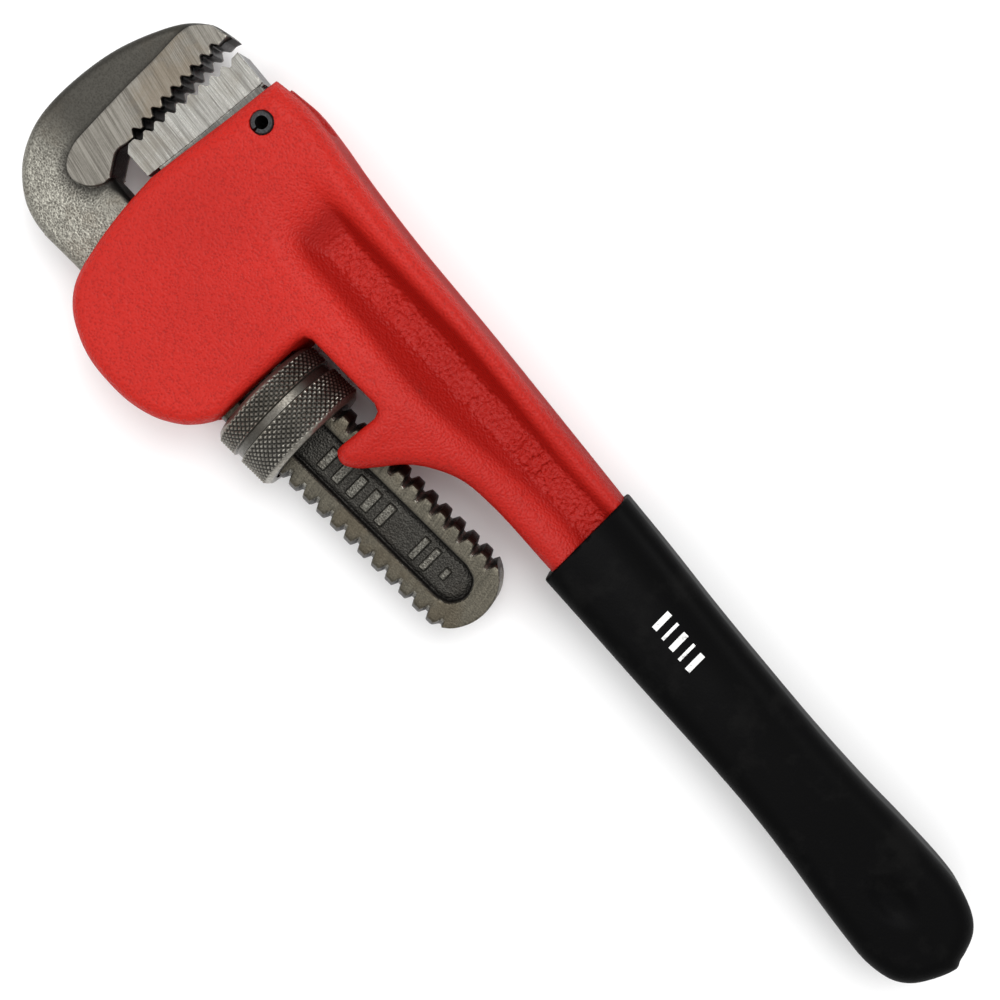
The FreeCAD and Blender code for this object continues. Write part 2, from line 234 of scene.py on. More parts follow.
def stations(low: float, high: float, step: float) -> Array:
    """Evenly spaced positions from low to high, both ends included."""
    return np.linspace(low, high, max(2, int(round((high - low) / step)) + 1))


@dataclass
class Skin:
    """Corners and four-sided faces of one closed surface, in maker's millimetres."""

    points: Array
    faces: Array


@dataclass
class SolidShaper:
    """Turns a signed-distance shape into a clean surface that keeps its crisp edges."""

    shape: Field
    xs: Array
    ys: Array
    zs: Array
    crispness: float = 0.06

    def skin(self) -> Skin:
        """Wrap the shape.

        Returns:
            The surface, with one corner in each cell that the surface crosses, placed where
            the planes that touch the surface there meet.
        """
        axes = (self.xs, self.ys, self.zs)
        values = np.broadcast_to(
            self.shape(self.xs[:, None, None], self.ys[None, :, None], self.zs[None, None, :]),
            tuple(len(a) for a in axes),
        )
        counts = np.array([len(a) - 1 for a in axes])
        stride = np.array([counts[1] * counts[2], counts[2], 1])
        spots, normals, cells, flips = [], [], [], []
        for axis in range(3):
            low = [slice(None)] * 3
            high = [slice(None)] * 3
            low[axis], high[axis] = slice(None, -1), slice(1, None)
            inside_low, inside_high = values[tuple(low)] < 0, values[tuple(high)] < 0
            index = np.argwhere(inside_low != inside_high)
            others = [a for a in range(3) if a != axis]
            fits = np.ones(len(index), bool)
            for other in others:
                fits &= (index[:, other] > 0) & (index[:, other] < counts[other])
            index = index[fits]
            step = np.eye(3, dtype=int)[axis]
            first = values[tuple(index.T)]
            last = values[tuple((index + step).T)]
            spot = np.stack([axes[a][index[:, a]] for a in range(3)], 1).astype(float)
            reach = axes[axis][index[:, axis] + 1] - axes[axis][index[:, axis]]
            spot[:, axis] += self._crossing(spot, axis, reach, first, last)
            spots.append(spot)
            normals.append(self._normal(spot))
            u, v = np.eye(3, dtype=int)[others[0]], np.eye(3, dtype=int)[others[1]]
            corner = [index - u - v, index - v, index, index - u]
            cells.append(np.stack([c @ stride for c in corner], 1))
            flips.append((first < 0) ^ (axis == 1))
        return self._join(
            np.vstack(spots), np.vstack(normals), np.vstack(cells), np.hstack(flips), counts
        )

    def _crossing(
        self, spot: Array, axis: int, reach: Array, first: Array, last: Array
    ) -> Array:
        """Find how far along each grid edge the surface crosses it.

        Args:
            spot: Low ends of the grid edges.
            axis: Which way the edges run.
            reach: Length of each edge.
            first: Distances at the low ends.
            last: Distances at the high ends.

        Returns:
            How far along each edge the surface is.
        """
        low, high = np.zeros(len(spot)), reach.astype(float).copy()
        f_low, f_high = first.astype(float).copy(), last.astype(float).copy()
        for _ in range(2):
            cut = low + (high - low) * f_low / (f_low - f_high)
            probe = spot.copy()
            probe[:, axis] += cut
            f_cut = self.shape(*probe.T)
            same = (f_cut < 0) == (f_low < 0)
            low, f_low = np.where(same, cut, low), np.where(same, f_cut, f_low)
            high, f_high = np.where(same, high, cut), np.where(same, f_high, f_cut)
        gap = np.where(np.abs(f_low - f_high) < 1e-12, 1.0, f_low - f_high)
        return low + (high - low) * np.clip(f_low / gap, 0, 1)

    def _normal(self, spot: Array, reach: float = 0.02) -> Array:
        """Give the outward direction at points on the surface.

        Args:
            spot: Points on the surface.
            reach: How far to step for the slope.

        Returns:
            One unit direction for each point.
        """
        here = self.shape(*spot.T)
        slope = np.empty_like(spot)
        for axis in range(3):
            probe = spot.copy()
            probe[:, axis] += reach
            slope[:, axis] = self.shape(*probe.T) - here
        return slope / np.maximum(np.linalg.norm(slope, axis=1), 1e-9)[:, None]

    def _join(
        self, spots: Array, normals: Array, cells: Array, flips: Array, counts: Array
    ) -> Skin:
        """Place one corner in each crossed cell and join the corners into faces.

        Args:
            spots: Points where the surface crosses grid edges.
            normals: Its outward directions there.
            cells: The four cells round each of those edges.
            flips: Whether each face turns over.
            counts: How many cells there are along each axis.

        Returns:
            The surface.
        """
        used, slot = np.unique(cells.ravel(), return_inverse=True)
        slot = slot.reshape(-1)
        edge = np.repeat(np.arange(len(cells)), 4)
        share = np.bincount(slot, minlength=len(used)).astype(float)
        middle = np.stack(
            [np.bincount(slot, spots[edge, a], len(used)) for a in range(3)], 1
        ) / share[:, None]
        n = normals[edge]
        offset = (n * (spots[edge] - middle[slot])).sum(1)
        squares = np.empty((len(used), 3, 3))
        for a in range(3):
            for b in range(3):
                squares[:, a, b] = np.bincount(slot, n[:, a] * n[:, b], len(used))
        pull = np.stack([np.bincount(slot, n[:, a] * offset, len(used)) for a in range(3)], 1)
        squares += np.eye(3)[None] * (self.crispness * share)[:, None, None]
        move = np.linalg.solve(squares, pull[:, :, None])[:, :, 0]
        index = np.stack(np.unravel_index(used, tuple(counts)), 1)
        for a, axis in enumerate((self.xs, self.ys, self.zs)):
            size = axis[index[:, a] + 1] - axis[index[:, a]]
            low = axis[index[:, a]] - 0.15 * size
            move[:, a] = np.clip(middle[:, a] + move[:, a], low, low + 1.3 * size)
        faces = slot.reshape(-1, 4)
        faces[flips] = faces[flips][:, ::-1]
        return Skin(move, faces)


# --------------------------------------------------------------------------- pieces
def new_piece(
    name: str,
    skin: Skin,
    finishes: Sequence[bpy.types.Material],
    body: Optional[str],
    replaces: Sequence[str] = (),
    sharp: float = 38.0,
) -> bpy.types.Object:
    """Make one piece of the wrench from its skin.

    Args:
        name: The piece's name.
        skin: Its surface in maker's millimetres.
        finishes: Its materials, the first one on every face to begin with.
        body: The moving body that it rides on, or None to leave it unattached.
        replaces: CAD nodes that it stands for.
        sharp: Edges that turn by more than this many degrees stay crisp.

    Returns:
        The piece.
    """
    mesh = bpy.data.meshes.new(name)
    mesh.from_pydata(AXES.place(skin.points).tolist(), [], skin.faces.tolist())
    mesh.validate()
    mesh.polygons.foreach_set("use_smooth", [True] * len(mesh.polygons))
    mesh.set_sharp_from_angle(angle=math.radians(sharp))
    piece = bpy.data.objects.new(name, mesh)
    bpy.context.scene.collection.objects.link(piece)
    for finish in finishes:
        mesh.materials.append(finish)
    if body:
        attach(piece, body)
    if replaces:
        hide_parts(*replaces)
    LOG.info("%s: %d faces on %s", name, len(mesh.polygons), body)
    return piece


def paint(piece: bpy.types.Object, name: str, values: Array) -> None:
    """Store one number per corner of a piece for its finish to read.

    Args:
        piece: The piece.
        name: The number's name.
        values: One value for each corner.
    """
    layer = piece.data.attributes.new(name, "FLOAT", "POINT")
    layer.data.foreach_set("value", np.ascontiguousarray(values, np.float32))


def merge_skins(*skins: Skin) -> Skin:
    """Put several surfaces into one, without joining their corners.

    Args:
        *skins: The surfaces.

    Returns:
        The joint surface.
    """
    points, faces, base = [], [], 0
    for skin in skins:
        points.append(skin.points)
        faces.append(np.asarray(skin.faces) + base)
        base += len(skin.points)
    return Skin(np.vstack(points), np.vstack(faces))


def tube_grid(rows: Array, close_ends: bool = False) -> Skin:
    """Join rings of points into a tube.

    Args:
        rows: Rings, each with the same number of points, as rings x points x 3.
        close_ends: Whether the last ring joins back to the first.

    Returns:
        The surface.
    """
    rings, around = rows.shape[:2]
    i = np.arange(rings if close_ends else rings - 1)[:, None]
    j = np.arange(around)[None, :]
    a = i * around + j
    b = i * around + (j + 1) % around
    c = ((i + 1) % rings) * around + (j + 1) % around
    d = ((i + 1) % rings) * around + j
    faces = np.stack([a, b, c, d], -1).reshape(-1, 4)
    return Skin(rows.reshape(-1, 3), faces)


# --------------------------------------------------------------------------- shader groups
class NodeBench:
    """Adds and joins nodes in one shader tree."""

    def __init__(self, tree: bpy.types.NodeTree) -> None:
        """Start on a tree."""
        self.tree = tree

    def add(self, kind: str, **settings: object) -> bpy.types.Node:
        """Add a node and set its own properties.

        Args:
            kind: The type of node.
            **settings: The node's own properties.

        Returns:
            The node.
        """
        node = self.tree.nodes.new(kind)
        for key, value in settings.items():
            setattr(node, key, value)
        return node

    def join(self, source: object, target: object) -> None:
        """Link two sockets."""
        self.tree.links.new(source, target)

    def math(self, how: str, a: object, b: object = None, clamp: bool = False) -> object:
        """Work out one number from two, each a socket or a plain number.

        Args:
            how: The operation.
            a: The first number.
            b: The second number, if any.
            clamp: Whether the result stays between 0 and 1.

        Returns:
            The socket with the result.
        """
        node = self.add("ShaderNodeMath", operation=how, use_clamp=clamp)
        for socket, value in zip(node.inputs, (a, b)):
            if value is None:
                continue
            if isinstance(value, (int, float)):
                socket.default_value = value
            else:
                self.join(value, socket)
        return node.outputs[0]

    def noise(
        self, where: object, scale: object, detail: float = 3.0, rough: float = 0.55
    ) -> object:
        """Read a cloud of noise at a place.

        Args:
            where: The place.
            scale: How fine the noise is, as a number or a socket.
            detail: How many finer layers it has.
            rough: How strong those layers are.

        Returns:
            The socket with the result.
        """
        node = self.add("ShaderNodeTexNoise")
        self.join(where, node.inputs["Vector"])
        if isinstance(scale, (int, float)):
            node.inputs["Scale"].default_value = scale
        else:
            self.join(scale, node.inputs["Scale"])
        node.inputs["Detail"].default_value = detail
        node.inputs["Roughness"].default_value = rough
        return node.outputs["Fac"]

    def between(self, value: object, low: float, high: float, to: Point = (0.0, 1.0)) -> object:
        """Stretch part of a number's range.

        Args:
            value: The number.
            low: Where the range starts.
            high: Where it ends.
            to: What those two become.

        Returns:
            The socket with the result.
        """
        node = self.add("ShaderNodeMapRange")
        self.join(value, node.inputs["Value"])
        for name, number in zip(("From Min", "From Max", "To Min", "To Max"), (low, high, *to)):
            node.inputs[name].default_value = number
        return node.outputs["Result"]

    def colour(self, mask: object, a: Sequence[float] | object, b: Sequence[float]) -> object:
        """Blend two colours by a mask. The first may be a socket.

        Args:
            mask: How much of the second colour shows.
            a: The first colour, or a socket.
            b: The second colour.

        Returns:
            The socket with the result.
        """
        node = self.add("ShaderNodeMix", data_type="RGBA")
        self.join(mask, node.inputs["Factor"])
        if isinstance(a, (tuple, list)):
            node.inputs[MIX_FIRST].default_value = (*a, 1.0)
        else:
            self.join(a, node.inputs[MIX_FIRST])
        node.inputs[MIX_SECOND].default_value = (*b, 1.0)
        return node.outputs[MIX_RESULT]


def shader_group(name: str, takes: dict[str, float], gives: Sequence[str]) -> NodeBench | None:
    """Open a new shader group, or say that it is already made.

    Args:
        name: The group's name.
        takes: Its number inputs and their first values. Place is added to them.
        gives: Its number outputs.

    Returns:
        A bench on the new group, or None if the group exists.
    """
    if name in bpy.data.node_groups:
        return None
    tree = bpy.data.node_groups.new(name, "ShaderNodeTree")
    tree.interface.new_socket(name="Place", in_out="INPUT", socket_type="NodeSocketVector")
    for key, value in takes.items():
        made = tree.interface.new_socket(name=key, in_out="INPUT", socket_type="NodeSocketFloat")
        made.default_value = value
    for key in gives:
        tree.interface.new_socket(name=key, in_out="OUTPUT", socket_type="NodeSocketFloat")
    return NodeBench(tree)


def grain_group() -> str:
    """Make the group for cast, blasted and peeled surfaces.

    Returns:
        The group's name.
    """
    name = "surface grain"
    bench = shader_group(
        name, {"Coarse": 350.0, "Fine": 1400.0, "Pits": 0.4}, ("Height", "Tone")
    )
    if bench:
        takes, gives = bench.add("NodeGroupInput"), bench.add("NodeGroupOutput")
        place = takes.outputs["Place"]
        coarse = bench.noise(place, takes.outputs["Coarse"], 4.0, 0.6)
        fine = bench.noise(place, takes.outputs["Fine"], 2.0, 0.5)
        cells = bench.add("ShaderNodeTexVoronoi", feature="SMOOTH_F1")
        bench.join(place, cells.inputs["Vector"])
        bench.join(takes.outputs["Fine"], cells.inputs["Scale"])
        pits = bench.between(cells.outputs["Distance"], 0.15, 0.75)
        pitted = bench.math("MULTIPLY", pits, takes.outputs["Pits"])
        height = bench.math("ADD", bench.math("MULTIPLY", coarse, 0.6), pitted)
        height = bench.math("ADD", height, bench.math("MULTIPLY", fine, 0.25))
        bench.join(height, gives.inputs["Height"])
        bench.join(bench.between(height, 0.35, 0.95), gives.inputs["Tone"])
    return name


def grind_group() -> str:
    """Make the group for the lines that a grinding wheel leaves.

    Returns:
        The group's name.
    """
    name = "grinding lines"
    bench = shader_group(name, {"Turn": 0.8, "Lines": 2600.0, "Stretch": 0.03}, ("Height", "Tone"))
    if bench:
        takes, gives = bench.add("NodeGroupInput"), bench.add("NodeGroupOutput")
        turn = bench.add("ShaderNodeVectorRotate", rotation_type="Z_AXIS")
        bench.join(takes.outputs["Place"], turn.inputs["Vector"])
        bench.join(takes.outputs["Turn"], turn.inputs["Angle"])
        parts = bench.add("ShaderNodeSeparateXYZ")
        bench.join(turn.outputs["Vector"], parts.inputs["Vector"])
        along = bench.math("MULTIPLY", parts.outputs["X"], takes.outputs["Stretch"])
        flat = bench.add("ShaderNodeCombineXYZ")
        bench.join(along, flat.inputs["X"])
        bench.join(parts.outputs["Y"], flat.inputs["Y"])
        bench.join(parts.outputs["Z"], flat.inputs["Z"])
        lines = bench.noise(flat.outputs["Vector"], takes.outputs["Lines"], 4.0, 0.65)
        broad = bench.noise(flat.outputs["Vector"],
                            bench.math("MULTIPLY", takes.outputs["Lines"], 0.22), 3.0)
        bench.join(lines, gives.inputs["Height"])
        mixed = bench.math("ADD", bench.math("MULTIPLY", lines, 0.6),
                           bench.math("MULTIPLY", broad, 0.4))
        bench.join(bench.between(mixed, 0.41, 0.59), gives.inputs["Tone"])
    return name


def stain_group() -> str:
    """Make the group for soft stains, scuffs and dust.

    Returns:
        The group's name.
    """
    name = "stains"
    bench = shader_group(name, {"Scale": 60.0, "Edge": 0.6}, ("Mask",))
    if bench:
        takes, gives = bench.add("NodeGroupInput"), bench.add("NodeGroupOutput")
        cloud = bench.noise(takes.outputs["Place"], takes.outputs["Scale"], 6.0, 0.62)
        over = bench.math("SUBTRACT", cloud, takes.outputs["Edge"])
        bench.join(bench.math("MULTIPLY", over, 8.0, clamp=True), gives.inputs["Mask"])
    return name


# --------------------------------------------------------------------------- finishes
class FinishBench(NodeBench):
    """Builds one material around a Principled shader."""

    def __init__(self, name: str) -> None:
        """Open a new material.

        Args:
            name: The material's name.
        """
        self.material = bpy.data.materials.new(name)
        self.material.use_nodes = True
        super().__init__(self.material.node_tree)
        self.shader = self.tree.nodes["Principled BSDF"]
        self.place = self.add("ShaderNodeTexCoord").outputs["Object"]

    def group(self, name: str, **values: float) -> bpy.types.Node:
        """Place a shared group with this finish's own values.

        Args:
            name: The group's name.
            **values: Values for its named inputs.

        Returns:
            The node.
        """
        node = self.add("ShaderNodeGroup", node_tree=bpy.data.node_groups[name])
        self.join(self.place, node.inputs["Place"])
        for key, value in values.items():
            node.inputs[key].default_value = value
        return node

    def set(self, **values: float) -> None:
        """Set plain values on the shader, with underscores for spaces in socket names."""
        for key, value in values.items():
            self.shader.inputs[key.replace("_", " ")].default_value = value

    def bump(
        self, height: object, depth: float, strength: float = 1.0, under: object = None
    ) -> object:
        """Add a bump of this depth in metres, over another one if there is one.

        Args:
            height: The height to follow.
            depth: How deep it is, in metres.
            strength: How much of it shows.
            under: The normal to start from, if any.

        Returns:
            The socket with the new normal.
        """
        node = self.add("ShaderNodeBump")
        node.inputs["Distance"].default_value = depth
        node.inputs["Strength"].default_value = strength
        self.join(height, node.inputs["Height"])
        if under is not None:
            self.join(under, node.inputs["Normal"])
        self.join(node.outputs["Normal"], self.shader.inputs["Normal"])
        return node.outputs["Normal"]

    def corner_number(self, name: str) -> object:
        """Read a number painted on the piece's corners."""
        return self.add("ShaderNodeAttribute", attribute_name=name).outputs["Fac"]


@dataclass(frozen=True)
class RedEnamel:
    """Sprayed enamel over a sand casting: orange peel, coarser grain where the sand was."""

    red: tuple[float, float, float] = (0.475, 0.0150, 0.0090)
    # deep: a darker red, mixed in for random tone and for painted shade.
    deep: tuple[float, float, float] = (0.24, 0.0040, 0.0025)
    scuff: tuple[float, float, float] = (0.10, 0.012, 0.010)
    sheen: tuple[float, float] = (0.16, 0.01)

    def build(self) -> bpy.types.Material:
        """Make the material.

        Returns:
            The material.
        """
        bench = FinishBench("red_enamel")
        peel = bench.group(grain_group(), Coarse=820.0, Fine=1800.0, Pits=0.5)
        sand = bench.group(grain_group(), Coarse=800.0, Fine=1050.0, Pits=1.0)
        rough_cast = bench.corner_number("sand")
        dirt = bench.group(stain_group(), Scale=130.0, Edge=0.66)
        cloud = bench.noise(bench.place, 26.0, 4.0)
        base = bench.colour(bench.between(cloud, 0.3, 0.75, (0.0, 0.35)), self.red, self.deep)
        # Painted shade: the peel's low spots are mixed towards the deeper red.
        low = bench.between(peel.outputs["Height"], 0.66, 0.40, (0.0, 0.5))
        base = bench.colour(low, base, self.deep)
        # hollow: the painted shade read from the casting's 'dark' number, mixed towards the deeper
        # red.
        hollow = bench.math("MULTIPLY", bench.corner_number("dark"), 0.72)
        base = bench.colour(hollow, base, self.deep)
        base = bench.colour(bench.math("MULTIPLY", dirt.outputs["Mask"], 0.5), base, self.scuff)
        bench.join(base, bench.shader.inputs["Base Color"])
        bench.join(bench.between(cloud, 0.2, 0.8, (0.36, 0.5)), bench.shader.inputs["Roughness"])
        first = bench.bump(peel.outputs["Height"], 0.00036, 0.75)
        height = bench.math("MULTIPLY", sand.outputs["Height"], rough_cast)
        bench.bump(height, 0.0006, 0.75, under=first)
        facing = bench.add("ShaderNodeLayerWeight").outputs["Facing"]
        bench.join(bench.between(facing, 0.45, 0.85, self.sheen),
                   bench.shader.inputs["Specular IOR Level"])
        return bench.material


@dataclass(frozen=True)
class MouldedGrip:
    """Matte black moulded rubber with a fine tooth and a little dust."""

    black: tuple[float, float, float] = (0.0022, 0.0022, 0.0023)
    dust: tuple[float, float, float] = (0.008, 0.0078, 0.0075)

    def build(self) -> bpy.types.Material:
        """Make the material.

        Returns:
            The material.
        """
        bench = FinishBench("moulded_grip")
        skin = bench.group(grain_group(), Coarse=420.0, Fine=1900.0, Pits=0.25)
        dust = bench.group(stain_group(), Scale=90.0, Edge=0.52)
        base = bench.colour(
            bench.math("MULTIPLY", dust.outputs["Mask"], 0.35), self.black, self.dust
        )
        bench.join(base, bench.shader.inputs["Base Color"])
        cloud = bench.noise(bench.place, 45.0, 5.0)
        bench.join(bench.between(cloud, 0.25, 0.75, (0.42, 0.58)),
                   bench.shader.inputs["Roughness"])
        bench.bump(skin.outputs["Height"], 0.00012, 0.6)
        bench.set(Specular_IOR_Level=0.03)
        return bench.material


@dataclass(frozen=True)
class BareSteel:
    """Uncoated steel: blasted, ground or turned, by how much grain and line it shows."""

    name: str
    light: tuple[float, float, float]
    dark: tuple[float, float, float]
    warm: tuple[float, float, float]
    grain: float = 0.0
    grind: float = 0.0
    grind_turn: float = 0.8
    roughness: tuple[float, float] = (0.35, 0.55)
    metal: float = 0.9
    lines: float = 2900.0
    shadow: tuple[float, float, float] = (0.012, 0.011, 0.010)

    def build(self) -> bpy.types.Material:
        """Make the material.

        Returns:
            The material.
        """
        bench = FinishBench(self.name)
        blast = bench.group(grain_group(), Coarse=1300.0, Fine=2300.0, Pits=0.7)
        lines = bench.group(grind_group(), Turn=self.grind_turn, Lines=self.lines)
        stain = bench.group(stain_group(), Scale=70.0, Edge=0.5)
        share = self.grind / max(self.grind + self.grain, 1e-6)
        tone = bench.math(
            "ADD",
            bench.math("MULTIPLY", lines.outputs["Tone"], share),
            bench.math("MULTIPLY", blast.outputs["Tone"], 1 - share),
        )
        calm = bench.between(bench.corner_number("smooth"), 0.0, 1.0, (1.0, 0.25))
        tone = bench.math("MULTIPLY", tone, calm)
        base = bench.colour(tone, self.dark, self.light)
        base = bench.colour(bench.math("MULTIPLY", stain.outputs["Mask"], 0.45), base, self.warm)
        dark = bench.corner_number("dark")
        base = bench.colour(dark, base, self.shadow)
        bench.join(base, bench.shader.inputs["Base Color"])
        rough = bench.between(tone, 0.0, 1.0, (self.roughness[1], self.roughness[0]))
        bench.join(rough, bench.shader.inputs["Roughness"])
        normal = None
        if self.grain:
            clear = bench.between(bench.corner_number("smooth"), 0.0, 1.0, (1.0, 0.12))
            rise = bench.math("MULTIPLY", blast.outputs["Height"], clear)
            normal = bench.bump(rise, 0.0003, self.grain)
        if self.grind:
            bench.bump(lines.outputs["Height"], 0.00006, self.grind, under=normal)
        bench.set(Metallic=self.metal)
        return bench.material


@dataclass(frozen=True)
class PrintedInk:
    """White pad-printed ink, a little worn."""

    white: tuple[float, float, float] = (0.82, 0.82, 0.80)
    worn: tuple[float, float, float] = (0.30, 0.30, 0.30)

    def build(self) -> bpy.types.Material:
        """Make the material.

        Returns:
            The material.
        """
        bench = FinishBench("white_ink")
        worn = bench.group(stain_group(), Scale=700.0, Edge=0.56)
        base = bench.colour(worn.outputs["Mask"], self.white, self.worn)
        bench.join(base, bench.shader.inputs["Base Color"])
        bench.bump(bench.noise(bench.place, 1500.0), 0.00003)
        bench.set(Roughness=0.5)
        return bench.material


class Steel(Enum):
    """The bare steels on the wrench."""

    FORGED = BareSteel("blasted_forging", (0.30, 0.29, 0.25), (0.115, 0.108, 0.092),
                       (0.15, 0.125, 0.095), grain=0.75, roughness=(0.4, 0.58))
    HOOK_GROUND = BareSteel("hook_ground_face", (0.215, 0.203, 0.178), (0.098, 0.090, 0.077),
                            (0.155, 0.12, 0.08), grain=0.08, grind=0.5, grind_turn=0.25,
                            roughness=(0.32, 0.46))
    HEEL_GROUND = BareSteel("heel_ground_face", (0.34, 0.335, 0.31), (0.135, 0.13, 0.118),
                            (0.16, 0.14, 0.11), grain=0.08, grind=0.6, grind_turn=0.12,
                            roughness=(0.26, 0.42))
    SHANK = BareSteel("shank_rim", (0.105, 0.095, 0.073), (0.050, 0.046, 0.036),
                      (0.07, 0.055, 0.035), grain=0.25, grind=0.25, grind_turn=1.4,
                      roughness=(0.38, 0.55))
    NUT = BareSteel("knurled_steel", (0.30, 0.285, 0.25), (0.17, 0.16, 0.14),
                    (0.19, 0.165, 0.13), grain=0.05, roughness=(0.3, 0.45))
    OXIDE = BareSteel("black_oxide", (0.030, 0.030, 0.032), (0.010, 0.010, 0.011),
                      (0.02, 0.018, 0.016), grain=0.2, roughness=(0.3, 0.45), metal=0.6)
    SPRING = BareSteel("tempered_steel", (0.20, 0.20, 0.21), (0.08, 0.08, 0.085),
                       (0.10, 0.08, 0.06), grind=0.3, roughness=(0.25, 0.4))

    def material(self) -> bpy.types.Material:
        """The one material of this steel, made when it is first asked for.

        Returns:
            The material.
        """
        if self not in MADE_STEELS:
            MADE_STEELS[self] = self.value.build()
        return MADE_STEELS[self]


MADE_STEELS: dict[Steel, bpy.types.Material] = {}


# --------------------------------------------------------------------------- handle casting
@dataclass
class HandleCasting:
    """The red casting: two cheeks round the shank, the nut's window, its lugs and the beam."""

    cheek_half: float = 16.35
    cheek_sink: float = 0.5
    beam_half: float = 9.5
    rim_round: float = 3.8
    back_round: float = 1.6
    slot_half: float = 7.3
    mortise_half: float = 6.65
    window_round: float = 2.4
    floor_start: float = 9.2
    floor_fall: float = 0.0455
    strip_half: float = 4.0
    mark_height: float = 0.55
    grip_room: float = 1.6
    pin: Point = (-49.6, 47.3)
    pin_radius: float = 2.92
    body_name: str = "wrench"

    def __post_init__(self) -> None:
        """Draw the outlines."""
        self.plan = (
            Outline([(-54.7, 56.3)])
            .curve((-46.0, 56.9), (-36.8, 55.8), (-26.3, 53.9), (-8.4, 51.3), (26.3, 47.8),
                   (71.6, 42.9), (107.6, 37.6), (143.8, 33.8), (174.3, 32.6), (190.0, 31.8))
            .curve((198.0, 28.2), (200.6, 20.6), (198.2, 12.6), (190.6, 8.4))
            .curve((174.3, 10.0), (145.7, 14.2), (107.6, 17.0), (71.6, 18.9), (50.0, 20.2),
                   (41.5, 19.6), (34.7, 16.9), (29.5, 13.2), (25.3, 8.2), (22.0, 4.6),
                   (19.0, 3.0), (16.4, 3.4))
            .to((8.0, -4.0), (-6.0, -11.0))
            .curve((-9.9, -12.4), (-14.8, -17.2), (-20.0, -20.4), (-26.0, -22.2),
                   (-31.6, -22.7), (-41.0, -21.9), (-47.4, -19.6), (-53.0, -15.9),
                   (-56.8, -10.6), (-59.2, 0.0), (-60.2, 10.0), (-60.4, 19.7))
        )
        self.window = Outline([
            (-10.1, -40.0), (-9.9, -10.0), (-8.6, 16.6), (-8.2, 18.2), (-6.6, 19.1),
            (14.6, 18.7), (16.3, 17.9), (16.9, 16.2), (15.7, 6.2), (15.3, 0.0), (15.0, -40.0)])
        self.tunnel = Outline([
            (-90.0, 12.75), (60.0, 12.75), (60.0, -16.7), (-49.0, -16.7), (-52.5, -18.6),
            (-56.0, -24.0), (-60.0, -40.0), (-90.0, -40.0)])
        self.lug_gap = Outline([(5.0, -30.0), (5.0, 15.6), (60.0, 15.6), (60.0, -30.0)])
        self.mortise = Outline([(-80.0, 21.4), (-42.9, 21.4), (-42.9, 51.9), (-80.0, 54.2)])
        self.back_slot = Outline([(-80.0, 53.6), (-43.0, 54.0), (-39.5, 54.8), (-37.0, 58.0),
                                  (-37.0, 70.0), (-80.0, 70.0)])
        self.seat = Outline([(-80.0, 17.6), (-60.2, 17.6), (-54.2, 54.8), (-54.0, 70.0),
                             (-80.0, 70.0)])

    def strip_middle(self, x: Array) -> Array:
        """Where the recess's floor has its middle, at each place along the handle."""
        return 38.9 - (x + 16.0) * 0.0591

    def recess_surface(self, x: Array, y: Array) -> Array:
        """How far the recess's surface is from the wrench's middle plane.

        Args:
            x: Positions along the screw, in mm.
            y: Positions towards the mouth, in mm.

        Returns:
            Distances from the middle plane, in mm.
        """
        floor = self.floor_start - (x + 16.0) * self.floor_fall
        across = y - self.strip_middle(x)
        start = soft_ramp(-19.0 - x, 1.2) * 0.52
        lower = soft_ramp(-across - self.strip_half, 1.0) * 1.15
        upper = soft_ramp(across - self.strip_half, 0.8) * 1.8
        walls = np.sqrt(start**2 + lower**2 + upper**2)
        marks = np.zeros_like(floor + across)
        for middle, width, height in self.marks():
            bar = np.hypot(np.maximum(np.abs(x - middle) - width, 0),
                           np.maximum(np.abs(across) - height, 0))
            marks = np.maximum(marks, 1 - ease(bar, 0.1, 0.8))
        return floor + walls + self.mark_height * marks

    @staticmethod
    def marks() -> list[tuple[float, float, float]]:
        """Plain raised bars on the recess's floor: middle, half width and half height.

        Returns:
            The bars.
        """
        return [(45.0, 0.35, 2.5), (48.6, 0.9, 2.5), (52.2, 0.35, 2.5), (55.4, 0.9, 1.1)]

    def shape(self, x: Array, y: Array, z: Array) -> Array:
        """Signed distance to the casting.

        Args:
            x: Positions along the screw, in mm.
            y: Positions towards the mouth, in mm.
            z: Positions across the wrench, in mm.

        Returns:
            Signed distances in mm, negative inside.
        """
        window = self.window.distance(x, y)
        lip = np.exp(-(((window - 3.4) / 2.6) ** 2)) * (1 - ease(y, 14.0, 24.0))
        cheek = self.cheek_half - self.cheek_sink * (1 - lip)
        half = cheek + (self.beam_half - cheek) * ease(x, 14.0, 66.0)
        under_grip = self.grip_room * ease(x, 72.6, 73.6)
        plan = self.plan.distance(x, y) + under_grip
        rim = self.rim_round + self.back_round * ease(y, 26.0, 44.0)
        solid = slab(plan, z, half - under_grip, rim)
        carve = (np.abs(z) - self.recess_surface(x, y)) / 1.55
        solid = blend_out(solid, carve, 3.2)
        solid = blend_out(solid, -window, self.window_round)
        for plan, half_width in ((self.tunnel, self.slot_half), (self.lug_gap, self.slot_half),
                                 (self.mortise, self.mortise_half), (self.seat, self.slot_half),
                                 (self.back_slot, self.mortise_half)):
            room = slab(plan.distance(x, y), z, half_width, 0.05)
            solid = blend_out(solid, -room, 0.7)
        bore = np.hypot(x - self.pin[0], y - self.pin[1]) - self.pin_radius
        solid = blend_out(solid, -bore, 0.5)
        pocket = np.maximum(np.hypot(x + 33.0, z) - 4.6, np.maximum(y + 10.0, -20.4 - y))
        return np.maximum(solid, -pocket)

